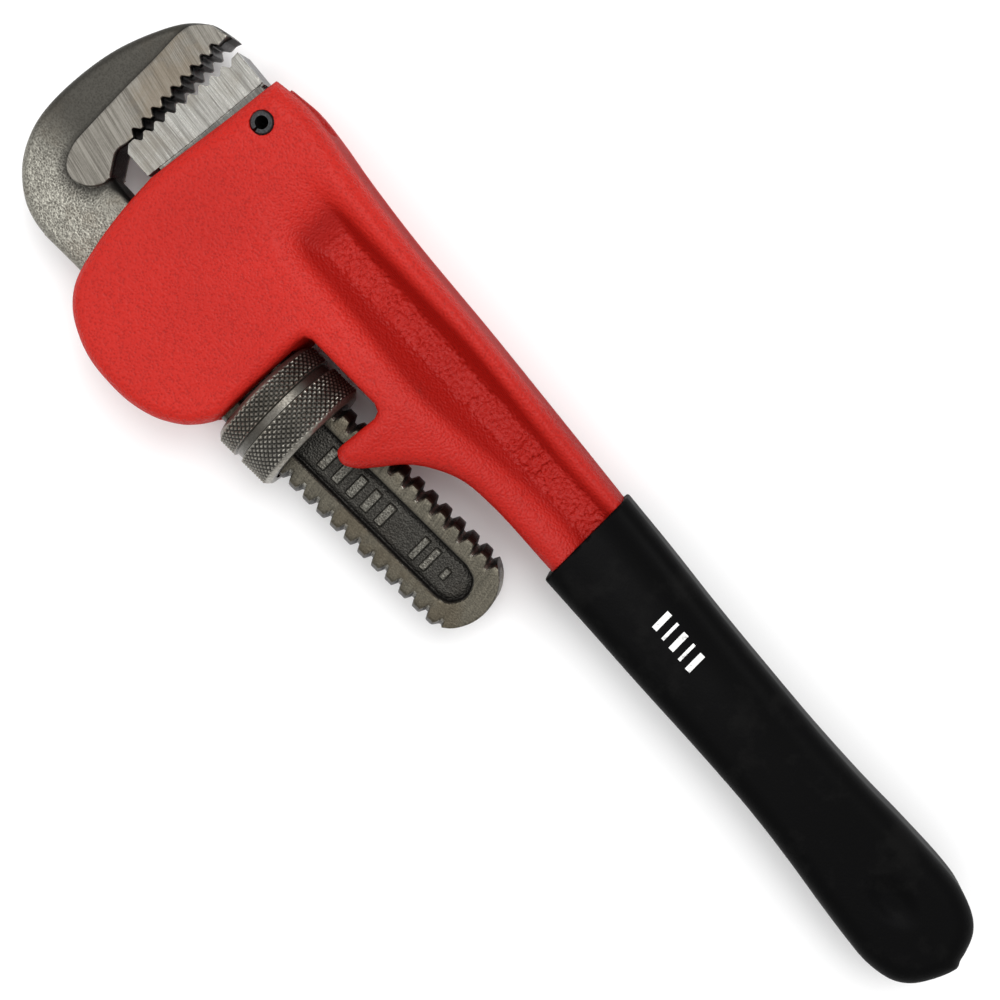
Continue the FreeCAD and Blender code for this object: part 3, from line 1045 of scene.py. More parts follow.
    def build(self) -> bpy.types.Object:
        """Make the casting.

        Returns:
            The piece.
        """
        step = 0.66
        xs = np.concatenate([stations(-62.5, 78.0, step), stations(80.0, 203.0, 2.4)])
        skin = SolidShaper(self.shape, xs, stations(-24.5, 60.0, step),
                           stations(-17.2, 17.2, step), crispness=0.12).skin()
        piece = new_piece("handle_casting", skin, [RedEnamel().build()], self.body_name,
                          ["handle"], sharp=50.0)
        x, y, z = skin.points.T
        across = np.abs(y - self.strip_middle(x))
        on_floor = (1 - ease(across, 2.6, 4.4)) * ease(x, -24.0, -14.0)
        depth = np.abs(np.abs(z) - self.recess_surface(x, y))
        on_floor = on_floor * (1 - ease(depth, 0.3, 1.2))
        # sunk, in_recess: painted shade, darker the deeper the recess sinks below the cheek face,
        # less on the floor strip.
        sunk = ease(self.cheek_half - np.abs(z) - 6.9 * ease(x, 14.0, 66.0), 1.2, 4.5)
        in_recess = ease(y, 22.0, 27.0) * (1 - ease(depth, 0.6, 1.6)) * ease(x, -36.0, -28.0)
        # beam: painted shade, the casting darkened towards the beam and grip.
        beam = 0.35 * ease(x, -6.0, 20.0)
        paint(piece, "sand", on_floor)
        # on_back: painted shade on the +Y flank.
        on_back = ease(self.plan.distance(x, y), -1.6, -0.4) * ease(y, 20.0, 30.0) * (
            1 - ease(np.abs(z), 6.0, 13.0))
        # hollow: the painted shade in the recess and on the flank, plus the darkening towards the
        # beam.
        hollow = sunk * in_recess * (1 - 0.6 * on_floor) + beam
        paint(piece, "dark", np.clip(np.maximum(hollow, on_back), 0, 1))
        return piece


# --------------------------------------------------------------------------- grip
@dataclass
class HandGrip:
    """The black sleeve moulded over the beam, with the beam's hollow showing through it."""

    half: float = 11.3
    rim: float = 5.6
    start: float = 72.2
    dimple: tuple[float, float] = (184.0, 20.5)
    valley_depth: float = 1.7
    lowest_side: float = 9.2
    highest_side: float = 13.0
    halvings: int = 22
    body_name: str = "wrench"

    def __post_init__(self) -> None:
        """Draw the outline."""
        self.plan = (
            Outline([(60.0, 15.6), (60.0, 45.9), (72.2, 44.2)])
            .curve((88.6, 42.4), (107.6, 40.0), (126.7, 38.0), (143.8, 36.4), (161.0, 35.4),
                   (174.3, 35.1), (189.5, 34.3), (195.2, 33.3), (201.0, 30.8), (204.0, 28.0),
                   (205.9, 23.8), (206.6, 21.3), (207.35, 19.7), (207.1, 17.9), (205.3, 13.4),
                   (202.4, 8.9), (198.5, 6.2), (191.4, 5.0), (183.8, 5.7), (174.3, 7.1),
                   (160.0, 9.5), (145.7, 11.4), (126.7, 12.9), (107.6, 14.0), (88.6, 15.2),
                   (72.2, 16.2), steps=5)
        )
        self.beam = (
            Outline([(60.0, 20.6), (60.0, 44.3), (71.6, 43.0)])
            .curve((107.6, 38.2), (143.8, 34.1), (174.3, 33.0), (190.0, 32.2), steps=4)
            .curve((198.0, 28.2), (200.4, 20.6), (198.0, 12.8), (190.6, 8.6), steps=4)
            .curve((174.3, 10.2), (145.7, 14.4), (107.6, 17.2), (71.6, 19.2), steps=4)
        )

    def middle(self, x: Array) -> Array:
        """Where the grip's middle line runs."""
        return 34.4 - (x - 72.0) * 0.121 - 3.0 * ease(x, 150.0, 200.0) + 0.4

    def shape(self, x: Array, y: Array, z: Array) -> Array:
        """Signed distance to the grip.

        Args:
            x: Positions along the screw, in mm.
            y: Positions towards the mouth, in mm.
            z: Positions across the wrench, in mm.

        Returns:
            Signed distances in mm, negative inside.
        """
        plan = self.plan.distance(x, y)
        swell = self.half - 0.6 * (1 - ease(x, 72.0, 110.0)) - 0.6 * ease(x, 150.0, 205.0)
        solid = slab(plan, z, swell, self.rim)
        across = (y - self.middle(x)) / (7.2 - 0.012 * (x - 72.0))
        fade = 1 - ease(x, 84.0, 158.0)
        solid = solid + self.valley_depth * np.exp(-(across**2) * 1.6) * fade * ease(
            np.abs(z), 3.0, 7.0)
        hole = np.sqrt(((x - self.dimple[0]) / 7.0) ** 2 + ((y - self.dimple[1]) / 4.2) ** 2)
        solid = solid + 1.25 * (1 - ease(hole, 0.35, 1.25)) * ease(np.abs(z), 3.0, 7.0)
        solid = blend_out(solid, self.start - x, 0.9)
        room = slab(self.beam.distance(x, y) + 1.0, z, 7.9 - 0.3 * fade, 0.6)
        return np.maximum(solid, -room)

    def build(self) -> bpy.types.Object:
        """Make the grip.

        Returns:
            The piece.
        """
        step = 0.8
        skin = SolidShaper(self.shape, stations(70.6, 209.0, step), stations(2.8, 47.0, step),
                           stations(-12.6, 12.6, step), crispness=0.12).skin()
        return new_piece("grip_sleeve", skin, [MouldedGrip().build()], self.body_name,
                         ["handle_grip"], sharp=55.0)

    def print_bars(self) -> bpy.types.Object:
        """Make the row of plain white bars printed on the near side.

        Returns:
            The piece.
        """
        skins = []
        for i, (wide, tall) in enumerate(((1.5, 5.2), (0.8, 5.2), (1.5, 5.2), (0.8, 5.2),
                                          (1.5, 5.2))):
            x = 98.6 + i * 3.1
            y = 29.4 - 0.121 * (x - 98.6)
            xs, ys = np.linspace(x - wide / 2, x + wide / 2, 4), np.linspace(
                y - tall / 2, y + tall / 2, 9)
            top = np.array([[(u, v, self._surface(u, v) + 0.07) for v in ys] for u in xs])
            low = top - np.array([0, 0, 0.3])
            rows = np.stack([np.concatenate([a, b[::-1]]) for a, b in zip(top, low)])
            ends = [Skin(np.concatenate([r[:9], r[:8:-1]]), self._cap(flip))
                    for r, flip in ((rows[0], False), (rows[-1], True))]
            skins.append(merge_skins(tube_grid(rows), *ends))
        return new_piece("grip_print", merge_skins(*skins), [PrintedInk().build()],
                         self.body_name)

    @staticmethod
    def _cap(flip: bool) -> Array:
        """Faces that close one end of a bar, between its top row and its low row.

        Args:
            flip: Whether the faces turn over.

        Returns:
            The faces, as numbers of corners.
        """
        i = np.arange(8)
        cap = np.stack([i, i + 1, i + 10, i + 9], 1)
        return cap[:, ::-1] if flip else cap

    def _surface(self, x: float, y: float) -> float:
        """How high the grip's near side stands at one place.

        Args:
            x: Position along the screw, in mm.
            y: Position towards the mouth, in mm.

        Returns:
            Its distance from the middle plane, in mm.
        """
        low, high = self.lowest_side, self.highest_side
        for _ in range(self.halvings):
            middle = (low + high) / 2
            if float(self.shape(np.array([x]), np.array([y]), np.array([middle]))[0]) < 0:
                low = middle
            else:
                high = middle
        return low


# --------------------------------------------------------------------------- jaws
def saw_line(start: Point, lean: float, pitch: float, count: int, depth: float) -> list[Point]:
    """Corners of a row of triangular notches, upwards along a leaning line.

    Args:
        start: Where the row begins.
        lean: How far the line leans towards +X, in degrees.
        pitch: Length of one tooth.
        count: How many notches there are.
        depth: How deep they go, towards +X if positive.

    Returns:
        Corners from the lowest notch to the highest.
    """
    turn = math.radians(lean)
    flat, land = 0.28, 0.34
    corners: list[Point] = []
    for i in range(count):
        low, middle, high = i * pitch + land, (i + 0.5) * pitch, (i + 1) * pitch - land
        for across, along in ((0.0, low), (depth, middle - flat), (depth, middle + flat),
                              (0.0, high)):
            corners.append((start[0] + across * math.cos(turn) + along * math.sin(turn),
                            start[1] - across * math.sin(turn) + along * math.cos(turn)))
    return corners


@dataclass
class HeelJaw:
    """The hardened jaw pinned between the cheeks, with its ground faces and a row of teeth."""

    half: float = 7.0
    tang_half: float = 6.6
    pitch: float = 3.42
    depth: float = 1.35
    pin: Point = (-49.6, 47.3)
    pin_radius: float = 2.92
    body_name: str = "wrench"

    def __post_init__(self) -> None:
        """Draw the outlines."""
        teeth = saw_line((-71.0, 22.2), 7.6, self.pitch, 9, self.depth)
        self.head = Outline([(-66.95, 54.5), *reversed(teeth), (-71.2, 20.75), (-69.75, 18.95),
                             (-62.6, 18.5), (-57.25, 53.5)])
        self.step_edge = Outline([(-72.5, 10.0), (-63.1, 10.0), (-57.5, 56.0), (-72.5, 56.0)])
        self.tang = Outline([(-63.0, 21.6), (-43.1, 21.6), (-43.1, 51.6), (-58.0, 52.7)])

    def shape(self, x: Array, y: Array, z: Array) -> Array:
        """Signed distance to the jaw.

        Args:
            x: Positions along the screw, in mm.
            y: Positions towards the mouth, in mm.
            z: Positions across the wrench, in mm.

        Returns:
            Signed distances in mm, negative inside.
        """
        head_plan = self.head.distance(x, y)
        high = slab(np.maximum(head_plan, self.step_edge.distance(x, y)), z, self.half, 0.12)
        low = slab(head_plan, z, self.half - 0.55, 0.12)
        tang = slab(self.tang.distance(x, y), z, self.tang_half, 0.3)
        solid = np.minimum(np.minimum(high, low), tang)
        bore = np.hypot(x - self.pin[0], y - self.pin[1]) - self.pin_radius
        return np.maximum(solid, -bore)

    def build(self) -> bpy.types.Object:
        """Make the jaw.

        Returns:
            The piece.
        """
        step = 0.3
        skin = SolidShaper(self.shape, stations(-72.6, -42.0, step), stations(17.4, 55.7, step),
                           stations(-7.7, 7.7, step), crispness=0.02).skin()
        piece = new_piece("heel_jaw_block", skin, [Steel.HEEL_GROUND.material()],
                          self.body_name, ["heel_jaw"], sharp=28.0)
        x, y, z = skin.points.T
        # Painted shade: everything set back from the ground faces, tooth faces included, is
        # darkened. The unground strip beside the cheeks is darkened too.
        below = self.half - np.abs(z)
        strip = ease(self.step_edge.distance(x, y), -0.2, 0.3)
        dark = np.maximum(ease(below, 0.2, 1.6), 0.62 * strip)
        paint(piece, "dark", np.clip(dark, 0, 1))
        return piece


@dataclass
class HookJaw:
    """The forged hook, its ground faces and teeth, and the threaded shank behind it."""

    forging_half: float = 6.2
    pad_half: float = 7.1
    shank_half: float = 6.5
    crest: float = 11.85
    root: float = 10.15
    pitch: float = 4.64
    crest_x: float = 57.6
    thread_from: float = -13.0
    thread_to: float = 62.6
    panel_depth: float = 1.35
    tooth_pitch: float = 3.4
    tooth_depth: float = 1.5
    body_name: str = "jaw"

    def __post_init__(self) -> None:
        """Draw the outlines."""
        throat = ((-70.5, 14.0), (-72.3, 17.6), (-71.65, 20.9))
        teeth = saw_line((-71.45, 22.3), 0.0, self.tooth_pitch, 9, -self.tooth_depth)
        self.hook = (
            Outline([(-70.4, 55.9)])
            .curve((-75.6, 55.0), (-80.9, 51.2), (-86.0, 42.6), (-90.1, 31.5), (-92.2, 16.0),
                   (-91.3, 7.0), (-87.5, -1.0), (-81.0, -6.9), (-75.0, -9.2), (-68.0, -9.75))
            .to((-58.0, -9.75), (-58.0, 10.9), (-68.0, 11.75), (-69.2, 11.9))
            .curve(*throat)
            .to(*teeth, (-71.45, 53.6))
        )
        self.pad = (
            Outline([(-71.45, 55.4), (-76.4, 54.4)])
            .curve((-79.6, 50.6), (-80.3, 40.0), (-80.9, 18.0), (-80.6, 11.0), (-78.6, 6.6),
                   (-75.4, 5.2), (-71.6, 6.6), (-69.4, 9.4), (-68.9, 11.9))
            .to((-69.2, 11.9))
            .curve(*throat)
            .to(*teeth, (-71.45, 53.6))
        )
        self.neck = Outline([(-72.0, -9.75), (-11.5, -9.75), (-11.5, 9.9), (-52.0, 9.9),
                             (-58.0, 10.9), (-69.0, 11.7)])
        self.tail = (
            Outline([(-15.0, -14.0), (58.5, -14.0), (60.8, -10.9)])
            .curve((64.8, -7.9), (67.2, -3.6), (67.8, 0.6), (67.0, 5.0), (64.6, 8.6),
                   (60.8, 11.4))
            .to((58.5, 14.0), (-15.0, 14.0))
        )
        self.panel = (
            Outline([(-36.0, -5.5), (56.6, -5.5)])
            .curve((60.2, -4.2), (62.2, 0.0), (60.4, 4.3), (56.6, 5.8))
            .to((-36.0, 5.8))
            .curve((-40.0, 4.2), (-41.6, 0.2), (-40.0, -4.0), (-36.0, -5.5))
        )

    @staticmethod
    def marks() -> list[tuple[float, float, float]]:
        """Plain raised bars on the panel's floor: middle, half width and half height.

        Returns:
            The bars.
        """
        row = [(15.0 + 4.8 * i, 0.85, 2.7) for i in range(5)]
        return [*row, (45.6, 0.6, 2.9), (49.4, 0.6, 2.9), (54.4, 0.55, 1.2)]

    def thread(self, x: Array, y: Array, z: Array) -> Array:
        """Signed distance to the round bar with its screw thread.

        Args:
            x: Positions along the screw, in mm.
            y: Positions towards the mouth, in mm.
            z: Positions across the wrench, in mm.

        Returns:
            Signed distances in mm, negative inside.
        """
        radius, turn = np.hypot(y, z), np.arctan2(z, y) / math.tau
        shift = (x - self.crest_x) / self.pitch - turn
        off_crest = np.abs(shift - np.round(shift)) * self.pitch
        rise = self.crest - self.root
        flank = (off_crest - 1.12) * 2.1
        level = self.crest - np.clip(soft_ramp(flank, 0.3) - 0.03, 0.0, rise)
        plain = (1 - ease(x, self.thread_from - 1.5, self.thread_from)) + ease(
            x, self.thread_to, self.thread_to + 0.8)
        level = level + (self.crest - level) * np.clip(plain, 0, 1)
        return (radius - level) * 0.55

    def panel_surface(self, x: Array, y: Array) -> Array:
        """How far the side panel's surface is from the middle plane.

        Args:
            x: Positions along the screw, in mm.
            y: Positions towards the mouth, in mm.

        Returns:
            Distances from the middle plane, in mm.
        """
        inside = -self.panel.distance(x, y)
        floor = self.shank_half - self.panel_depth * ease(inside, -0.1, 0.8)
        floor = floor - 0.35 * np.exp(-(((inside - 1.0) / 0.55) ** 2))
        return floor + 0.75 * self.on_mark(x, y) * ease(inside, 0.3, 1.2)

    def on_mark(self, x: Array, y: Array) -> Array:
        """Give 1 on a raised bar and 0 off it.

        Args:
            x: Positions along the screw, in mm.
            y: Positions towards the mouth, in mm.

        Returns:
            Numbers from 0 to 1.
        """
        marks = np.zeros_like(x + y)
        for middle, width, height in self.marks():
            bar = np.hypot(np.maximum(np.abs(x - middle) - width, 0),
                           np.maximum(np.abs(y - 0.2) - height, 0))
            marks = np.maximum(marks, 1 - ease(bar, 0.05, 0.6))
        return marks

    def shape(self, x: Array, y: Array, z: Array) -> Array:
        """Signed distance to the jaw.

        Args:
            x: Positions along the screw, in mm.
            y: Positions towards the mouth, in mm.
            z: Positions across the wrench, in mm.

        Returns:
            Signed distances in mm, negative inside.
        """
        hook_plan = self.hook.distance(x, y)
        dish = 0.9 * np.exp(-((self.pad.distance(x, y) / 3.4) ** 2))
        hook = slab(hook_plan, z, self.forging_half - dish, 2.4)
        mouth = slab(hook_plan, z, self.forging_half - dish, 0.4)
        hook = np.where((x > -73.5) & (y > 12.5), mouth, hook)
        pad = slab(self.pad.distance(x, y), z, self.pad_half, 0.15)
        hook = blend_in(hook, pad, 1.0)
        into_shank = ease(x, -62.0, -50.0)
        neck_half = self.forging_half - dish + (self.shank_half - self.forging_half) * into_shank
        neck = slab(self.neck.distance(x, y), z, neck_half, 2.4 - 1.6 * into_shank)
        hook = np.minimum(hook, neck)
        bar = np.maximum(self.thread(x, y, z), self.tail.distance(x, y))
        bar = blend_out(bar, np.abs(z) - self.shank_half, 0.5)
        bar = np.maximum(bar, self.thread_from - 1.5 - x)
        solid = np.minimum(hook, bar)
        carve = (np.abs(z) - self.panel_surface(x, y)) * 0.8
        return np.where(np.abs(x - 11.0) < 54.0, blend_out(solid, carve, 0.3), solid)

    def build(self) -> bpy.types.Object:
        """Make the jaw and mark which faces are ground.

        Returns:
            The piece.
        """
        step = 0.45
        skin = SolidShaper(self.shape, stations(-93.4, 69.2, step), stations(-13.6, 57.2, step),
                           stations(-7.9, 7.9, step * 0.93), crispness=0.02).skin()
        finishes = [Steel.FORGED.material(), Steel.HOOK_GROUND.material(),
                    Steel.SHANK.material()]
        piece = new_piece("hook_jaw_forging", skin, finishes, self.body_name,
                          ["hook_jaw"], sharp=30.0)
        middle = skin.points[skin.faces].mean(1)
        x, y, z = middle.T
        ground = (np.abs(z) > self.pad_half - 0.12) & (x < -68.0)
        teeth = (x > -73.4) & (x < -71.0) & (y > 20.0) & (np.abs(z) < self.pad_half)
        rim = (x > -14.0) & (np.abs(z) > self.shank_half - 0.25) | (np.hypot(y, z) > 11.0) & (
            x > -14.0)
        marks = np.where(ground | teeth, 1, np.where(rim, 2, 0)).astype(np.int32)
        piece.data.polygons.foreach_set("material_index", marks[: len(piece.data.polygons)])
        x, y, z = skin.points.T
        # dark: the darkening from shading(), mostly painted shade.
        paint(piece, "dark", self.shading(x, y, z))
        off_pad = ease(self.pad.distance(x, y), 0.0, 0.5)
        paint(piece, "smooth", ease(y, 0.0, 16.0) * (x < -60.0) * off_pad)
        return piece

    def shading(self, x: Array, y: Array, z: Array) -> Array:
        """How far the steel is darkened at each place, from 0 to 1, mostly by painted shade.

        Args:
            x: Positions along the screw, in mm.
            y: Positions towards the mouth, in mm.
            z: Positions across the wrench, in mm.

        Returns:
            Numbers from 0 to 1.
        """
        off_pad = self.pad.distance(x, y)
        # upper_band: darker towards +Y off the pad.
        upper_band = 0.66 * ease(y, -2.0, 18.0) * ease(off_pad, 0.0, 0.5)
        # halo: painted shade round the pad.
        halo = 0.85 * np.exp(-((np.maximum(off_pad, 0) / 3.0) ** 2)) * ease(off_pad, 0.0, 0.4)
        # sunk: painted shade on the tooth faces in the mouth.
        sunk = ease(self.pad_half - np.abs(z), 0.2, 1.8) * ease(x, -74.2, -73.4) * (
            ease(y, 12.0, 14.0) * (1 - ease(y, 52.4, 53.4)))
        # throat: painted shade along the top of the neck and in the throat.
        throat = ease(x, -73.5, -70.5) * (1 - ease(x, -16.0, -14.0)) * ease(
            y, 8.0, 10.5) * ease(self.forging_half - np.abs(z), -0.1, 0.9)
        head = np.where(x < -68.0, np.maximum(np.maximum(upper_band, halo), sunk), 0.0)
        head = np.maximum(head, throat * 0.97)
        # thread: painted shade in the thread's grooves.
        thread = 0.9 * ease(self.shank_half - np.abs(z), 0.2, 1.6) * ease(
            np.hypot(y, z), 9.6, 10.4)
        # panel: the panel's floor is darkened, with a darker line along its wall as painted shade.
        # The raised bars are left lighter as painted highlight.
        inside = -self.panel.distance(x, y)
        panel = (0.89 + 0.10 * np.exp(-(((inside - 0.8) / 0.7) ** 2))) * ease(inside, 0.0, 0.5)
        panel = panel * (1 - 0.35 * self.on_mark(x, y))
        shank = np.where(x > -15.0, np.maximum(thread, panel), 0.0)
        return np.clip(np.maximum(head, shank), 0, 1)


# --------------------------------------------------------------------------- nut and pin
@dataclass
class AdjustingNut:
    """The knurled nut: two bands of diamond knurl, a turned groove and a screw thread inside."""

    left: float = -8.1
    right: float = 9.0
    radius: float = 15.95
    bevel: float = 1.3
    groove_x: float = -0.9
    groove_half: float = 1.1
    groove_depth: float = 0.85
    knurl_depth: float = 0.5
    knurl_pitch: float = 1.5
    knurl_starts: int = 56
    bore: float = 11.25
    thread_root: float = 12.65
    pitch: float = 4.64
    crest_x: float = 57.6
    body_name: str = "nut"

    def outer(self, x: Array, turn: Array) -> Array:
        """Radius of the outside at each place along and round the nut.

        Args:
            x: Positions along the screw, in mm.
            turn: Places round the nut, in turns.

        Returns:
            Radii in mm.
        """
        from_end = np.minimum(x - self.left, self.right - x)
        body = self.radius - np.maximum(self.bevel - from_end, 0)
        groove = 1 - ease(np.abs(x - self.groove_x), self.groove_half - 0.12,
                          self.groove_half + 0.12)
        along = x / self.knurl_pitch
        around = turn * self.knurl_starts
        ridges = [np.abs((p - np.floor(p)) * 2 - 1) for p in (around + along, around - along)]
        low = np.clip(1.05 - np.minimum(ridges[0], ridges[1]) * 1.25, 0, 1)
        on_band = ease(np.abs(x - self.groove_x), self.groove_half + 0.15,
                       self.groove_half + 0.5) * ease(from_end, 0.6, 1.5)
        return body - self.groove_depth * groove - self.knurl_depth * low * on_band

    def inner(self, x: Array, turn: Array) -> Array:
        """Radius of the threaded bore.

        Args:
            x: Positions along the screw, in mm.
            turn: Places round the nut, in turns.

        Returns:
            Radii in mm.
        """
        shift = (x - self.crest_x) / self.pitch - turn
        off = np.abs(shift - np.round(shift)) * self.pitch
        level = self.bore + (self.thread_root - self.bore) * (1 - ease(off, 1.25, 1.7))
        ends = np.minimum(x - self.left, self.right - x)
        return np.maximum(level, self.bore + 0.8 * (1 - ease(ends, 0.0, 0.9)))

    def build(self) -> bpy.types.Object:
        """Make the nut.

        Returns:
            The piece.
        """
        steps, around = ((96, 640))
        x = np.linspace(self.left, self.right, steps)
        turn = np.arange(around) / around
        grid_x, grid_turn = np.meshgrid(x, turn, indexing="ij")
        outside = self.outer(grid_x, grid_turn)
        coarse_x = x[::2] if (steps - 1) % 2 == 0 else np.append(x[::2], x[-1])
        bore_x, bore_turn = np.meshgrid(coarse_x[::-1], turn, indexing="ij")
        inside = self.inner(bore_x, bore_turn)
        radius = np.vstack([outside, inside])
        along = np.vstack([grid_x, bore_x])
        angle = np.vstack([grid_turn, bore_turn]) * math.tau
        rows = np.stack([along, radius * np.cos(angle), radius * np.sin(angle)], -1)
        skin = tube_grid(rows, close_ends=True)
        skin.faces = skin.faces[:, ::-1]
        piece = new_piece("knurled_nut", skin, [Steel.NUT.material()], self.body_name,
                          ["adjusting_nut"], sharp=45.0)
        # Painted shade: darker in the knurl's valleys and in the turned groove.
        body = self.radius - np.maximum(
            self.bevel - np.minimum(along - self.left, self.right - along), 0)
        in_groove = np.abs(along - self.groove_x) < self.groove_half
        valley = 0.90 * ease(body - radius, 0.10, 0.42)
        paint(piece, "dark", np.where(in_groove, 0.62, valley).ravel())
        return piece


@dataclass
class RollPin:
    """The hollow spring pin that holds the heel jaw, split down one side."""

    middle: Point = (-49.6, 47.3)
    outer: float = 2.88
    inner: float = 1.62
    half: float = 15.95
    chamfer: float = 0.5
    slit: float = 0.16
    body_name: str = "wrench"

    def build(self) -> bpy.types.Object:
        """Make the pin.

        Returns:
            The piece.
        """
        levels = [-self.half, -self.half + self.chamfer, *np.linspace(-14, 14, 5),
                  self.half - self.chamfer, self.half]
        turn = np.linspace(-math.pi / 2 + self.slit, 1.5 * math.pi - self.slit, 57)
        rows = []
        for z in levels:
            out = self.outer - (self.chamfer * 0.8 if abs(z) >= self.half else 0.0)
            ring = [(out * math.cos(a), out * math.sin(a)) for a in turn]
            ring += [(self.inner * math.cos(a), self.inner * math.sin(a)) for a in turn[::-1]]
            rows.append([(self.middle[0] + u, self.middle[1] + v, z) for u, v in ring])
        grid = np.array(rows)
        skin = tube_grid(grid)
        count, around = len(turn), grid.shape[1]
        i = np.arange(count - 1)
        cap = np.stack([i, around - 1 - i, around - 2 - i, i + 1], 1)
        last = (len(levels) - 1) * around
        faces = np.vstack([skin.faces, cap, (cap + last)[:, ::-1]])
        return new_piece("split_pin", Skin(skin.points, faces), [Steel.OXIDE.material()],
                         self.body_name, ["heel_jaw_pin"], sharp=35.0)


@dataclass
class SpringSet:
    """The coil and the leaf under the shank, and the rivet that joins them."""

    middle_x: float = -33.0
    leaf_top: float = -12.65
    leaf_thick: float = 0.85
    leaf_half_width: float = 4.5
    leaf_half_length: float = 13.0
    foot: float = -20.4
    coil_radius: float = 3.4
    wire: float = 0.55
    turns: float = 3.0
    rivet_radius: float = 1.5
    rivet_head: float = 2.45

    def coil(self) -> bpy.types.Object:
        """Make the coil spring, standing from its foot in the casting up to the leaf.

        Returns:
            The piece.
        """
        rise = self.leaf_top - self.leaf_thick - self.foot - 2 * self.wire - 0.1
        along = np.linspace(0, self.turns, 180)
        angle = along * math.tau
        centre = np.stack([self.middle_x + self.coil_radius * np.cos(angle),
                           self.foot + self.wire + rise * along / self.turns,
                           -self.coil_radius * np.sin(angle)], 1)
        out = np.stack([np.cos(angle), np.zeros_like(angle), -np.sin(angle)], 1)
        up = np.array([0.0, 1.0, 0.0])
        ring = np.linspace(0, math.tau, 14, endpoint=False)
        taper = np.clip(np.minimum(along, self.turns - along) * 60 + 0.15, 0, 1)
        rows = centre[:, None, :] + self.wire * taper[:, None, None] * (
            np.cos(ring)[None, :, None] * out[:, None, :] + np.sin(ring)[None, :, None] * up)
        piece = new_piece("coil_spring_wire", tube_grid(rows), [Steel.SPRING.material()],
                          None, ["coil_spring"])
        foot, head = AXES.place(np.array([
            (self.middle_x, self.foot + 2 * self.wire, 0.0),
            (self.middle_x, self.foot + rise, 0.0)]))
        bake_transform(piece)
        return piece

    def leaf_shape(self, x: Array, y: Array, z: Array) -> Array:
        """Signed distance to the leaf, bowed along its length and pierced for the rivet.

        Args:
            x: Positions along the screw, in mm.
            y: Positions towards the mouth, in mm.
            z: Positions across the wrench, in mm.

        Returns:
            Signed distances in mm, negative inside.
        """
        across = x - self.middle_x
        bow = -0.9 * (across / self.leaf_half_length) ** 2
        middle = self.leaf_top - self.leaf_thick / 2 + bow
        plan = np.maximum(np.abs(across) - self.leaf_half_length + 1.4,
                          np.abs(z) - self.leaf_half_width + 1.4)
        corner = np.hypot(np.maximum(np.abs(across) - self.leaf_half_length + 1.4, 0),
                          np.maximum(np.abs(z) - self.leaf_half_width + 1.4, 0))
        plan = np.where(plan > 0, corner, plan) - 1.4
        plan = np.maximum(plan, self.rivet_radius - 0.02 - np.hypot(across, z))
        return blend_out(plan, np.abs(y - middle) - self.leaf_thick / 2, 0.12)

    def leaf(self) -> bpy.types.Object:
        """Make the leaf spring.

        Returns:
            The piece.
        """
        skin = SolidShaper(self.leaf_shape, stations(-46.8, -19.2, 0.3),
                           stations(-14.9, -12.2, 0.16), stations(-5.0, 5.0, 0.3)).skin()
        return new_piece("leaf_spring_strip", skin, [Steel.SPRING.material()], "rocker",
                         ["flat_spring"])

    def rivet(self) -> bpy.types.Object:
        """Make the rivet, turned about an upright axis.

        Returns:
            The piece.
        """
        top = self.leaf_top - 0.1
        under = top - (self.leaf_thick - 0.1)
        profile = [(0.02, top), (self.rivet_radius - 0.2, top), (self.rivet_radius, top - 0.15),
                   (self.rivet_radius, under), (self.rivet_head, under),
                   (self.rivet_head, under - 0.6), (self.rivet_head - 0.4, under - 1.0),
                   (0.02, under - 1.1)]
        angle = np.linspace(0, math.tau, 40, endpoint=False)
        rows = np.array([[(self.middle_x + r * math.cos(a), y, r * math.sin(a)) for a in angle]
                         for r, y in profile])
        return new_piece("spring_rivet_turned", tube_grid(rows, close_ends=True),
                         [Steel.SPRING.material()], "rocker",
                         ["spring_rivet"])


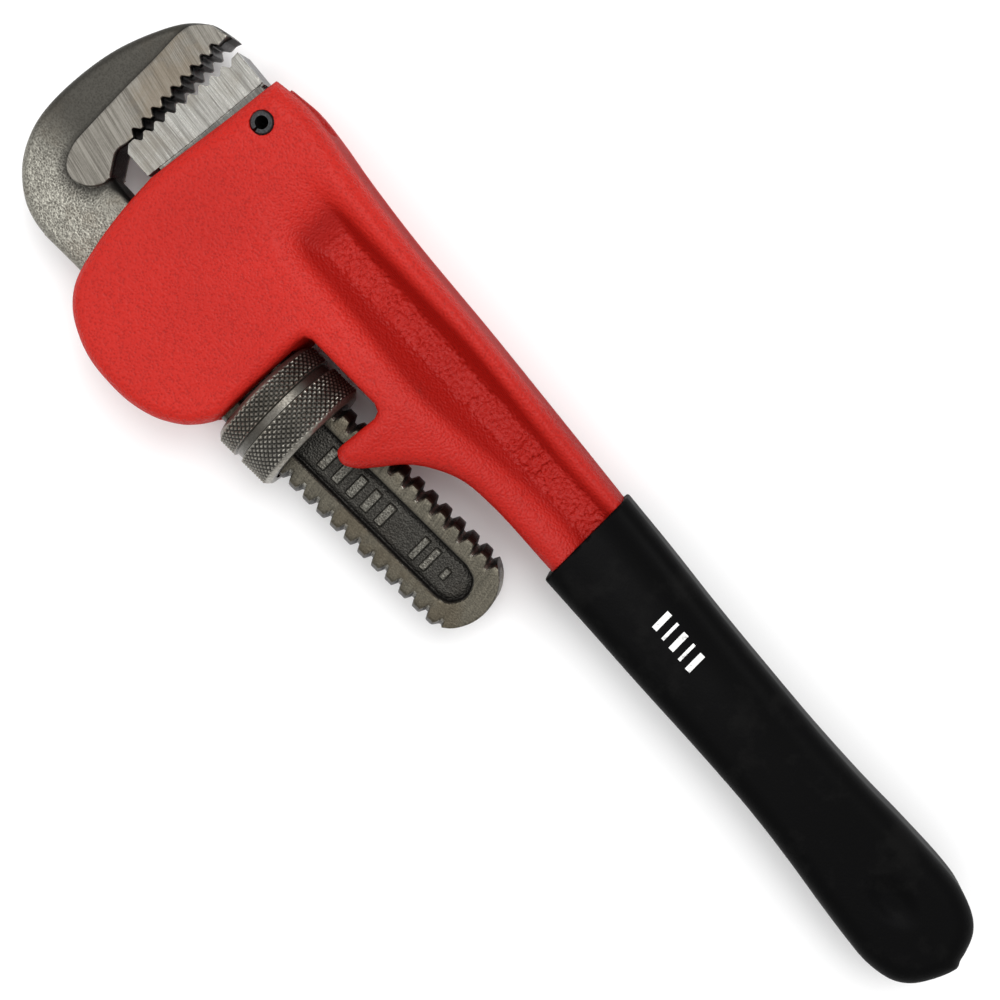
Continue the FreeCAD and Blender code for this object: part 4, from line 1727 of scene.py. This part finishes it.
# --------------------------------------------------------------------------- studio
@dataclass
class Studio:
    """A pale floor, soft light and the camera that looks down on the wrench."""

    look_at: tuple[float, float, float] = (51.3, 21.6, 0.0)
    lean: float = 0.125
    distance: float = 488.0
    turn: float = 44.6
    lens: float = 72.792
    sensor: float = 36.0
    floor_size: float = 2.4
    floor_gap: float = 0.0002
    ambient: float = 0.64

    def camera(self) -> bpy.types.Object:
        """Set up the camera.

        Returns:
            The camera.
        """
        back = Vector((0.0, self.lean, 1.0)).normalized()
        along = (Vector((1, 0, 0)) - back * back.x).normalized()
        across = back.cross(along)
        c, s = math.cos(math.radians(self.turn)), math.sin(math.radians(self.turn))
        right = along * c + across * s
        up = across * c - along * s
        middle = AXES.origin() + Vector(self.look_at) * MM
        data = bpy.data.cameras.new("studio_camera")
        data.sensor_width = self.sensor
        data.lens = self.lens
        data.clip_start = 0.01
        camera = bpy.data.objects.new("studio_camera", data)
        place = Matrix((right, up, back)).transposed().to_4x4()
        place.translation = middle + back * self.distance * MM
        camera.matrix_world = place
        bpy.context.scene.collection.objects.link(camera)
        bpy.context.scene.camera = camera
        return camera

    def floor(self) -> bpy.types.Object:
        """Lay the floor just under the wrench.

        Returns:
            The floor.
        """
        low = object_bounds()[0]
        half = self.floor_size / 2
        mesh = bpy.data.meshes.new("studio_floor")
        height = float(low[2]) - self.floor_gap
        mesh.from_pydata([(-half, -half, height), (half, -half, height), (half, half, height),
                          (-half, half, height)], [], [(0, 1, 2, 3)])
        floor = bpy.data.objects.new("studio_floor", mesh)
        bpy.context.scene.collection.objects.link(floor)
        bench = FinishBench("floor_paper")
        tone = bench.colour(bench.noise(bench.place, 9.0), (0.95, 0.95, 0.95),
                            (0.98, 0.98, 0.98))
        bench.join(tone, bench.shader.inputs["Base Color"])
        bench.set(Roughness=0.95, Specular_IOR_Level=0.0)
        mesh.materials.append(bench.material)
        floor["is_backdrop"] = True
        return floor

    def light(self, name: str, at: tuple[float, float, float], size: float,
              watts: float) -> bpy.types.Object:
        """Hang one soft panel that faces the wrench.

        Args:
            name: The panel's name.
            at: Where it hangs, in metres from the middle of the wrench.
            size: Its width.
            watts: Its power.

        Returns:
            The panel.
        """
        data = bpy.data.lights.new(name, "AREA")
        data.shape, data.size, data.energy = "SQUARE", size, watts
        lamp = bpy.data.objects.new(name, data)
        lamp.location = Vector(at)
        lamp.rotation_euler = Vector(at).to_track_quat("Z", "Y").to_euler()
        bpy.context.scene.collection.objects.link(lamp)
        return lamp

    def build(self) -> None:
        """Set up the whole studio."""
        self.floor()
        self.camera()
        self.light("key_panel", (-0.1, 0.55, 1.1), 0.7, 8.5)
        self.light("fill_panel", (-0.7, -0.5, 0.95), 0.9, 3.5)
        self.light("top_panel", (0.1, 0.0, 1.5), 1.2, 5.0)
        world = bpy.data.worlds.new("studio_world")
        world.use_nodes = True
        world.node_tree.nodes["Background"].inputs["Color"].default_value = (1, 1, 1, 1)
        world.node_tree.nodes["Background"].inputs["Strength"].default_value = self.ambient
        bpy.context.scene.world = world
        bpy.context.scene.view_settings.view_transform = "Standard"


def main() -> None:
    """Build the wrench and its studio."""
    logging.basicConfig(level=logging.INFO, format="%(name)s: %(message)s")
    HandleCasting().build()
    grip = HandGrip()
    grip.build()
    grip.print_bars()
    HeelJaw().build()
    RollPin().build()
    HookJaw().build()
    AdjustingNut().build()
    springs = SpringSet()
    for make in (springs.coil, springs.leaf, springs.rivet):
        make()
    Studio().build()


if __name__ == "__main__":
    main()
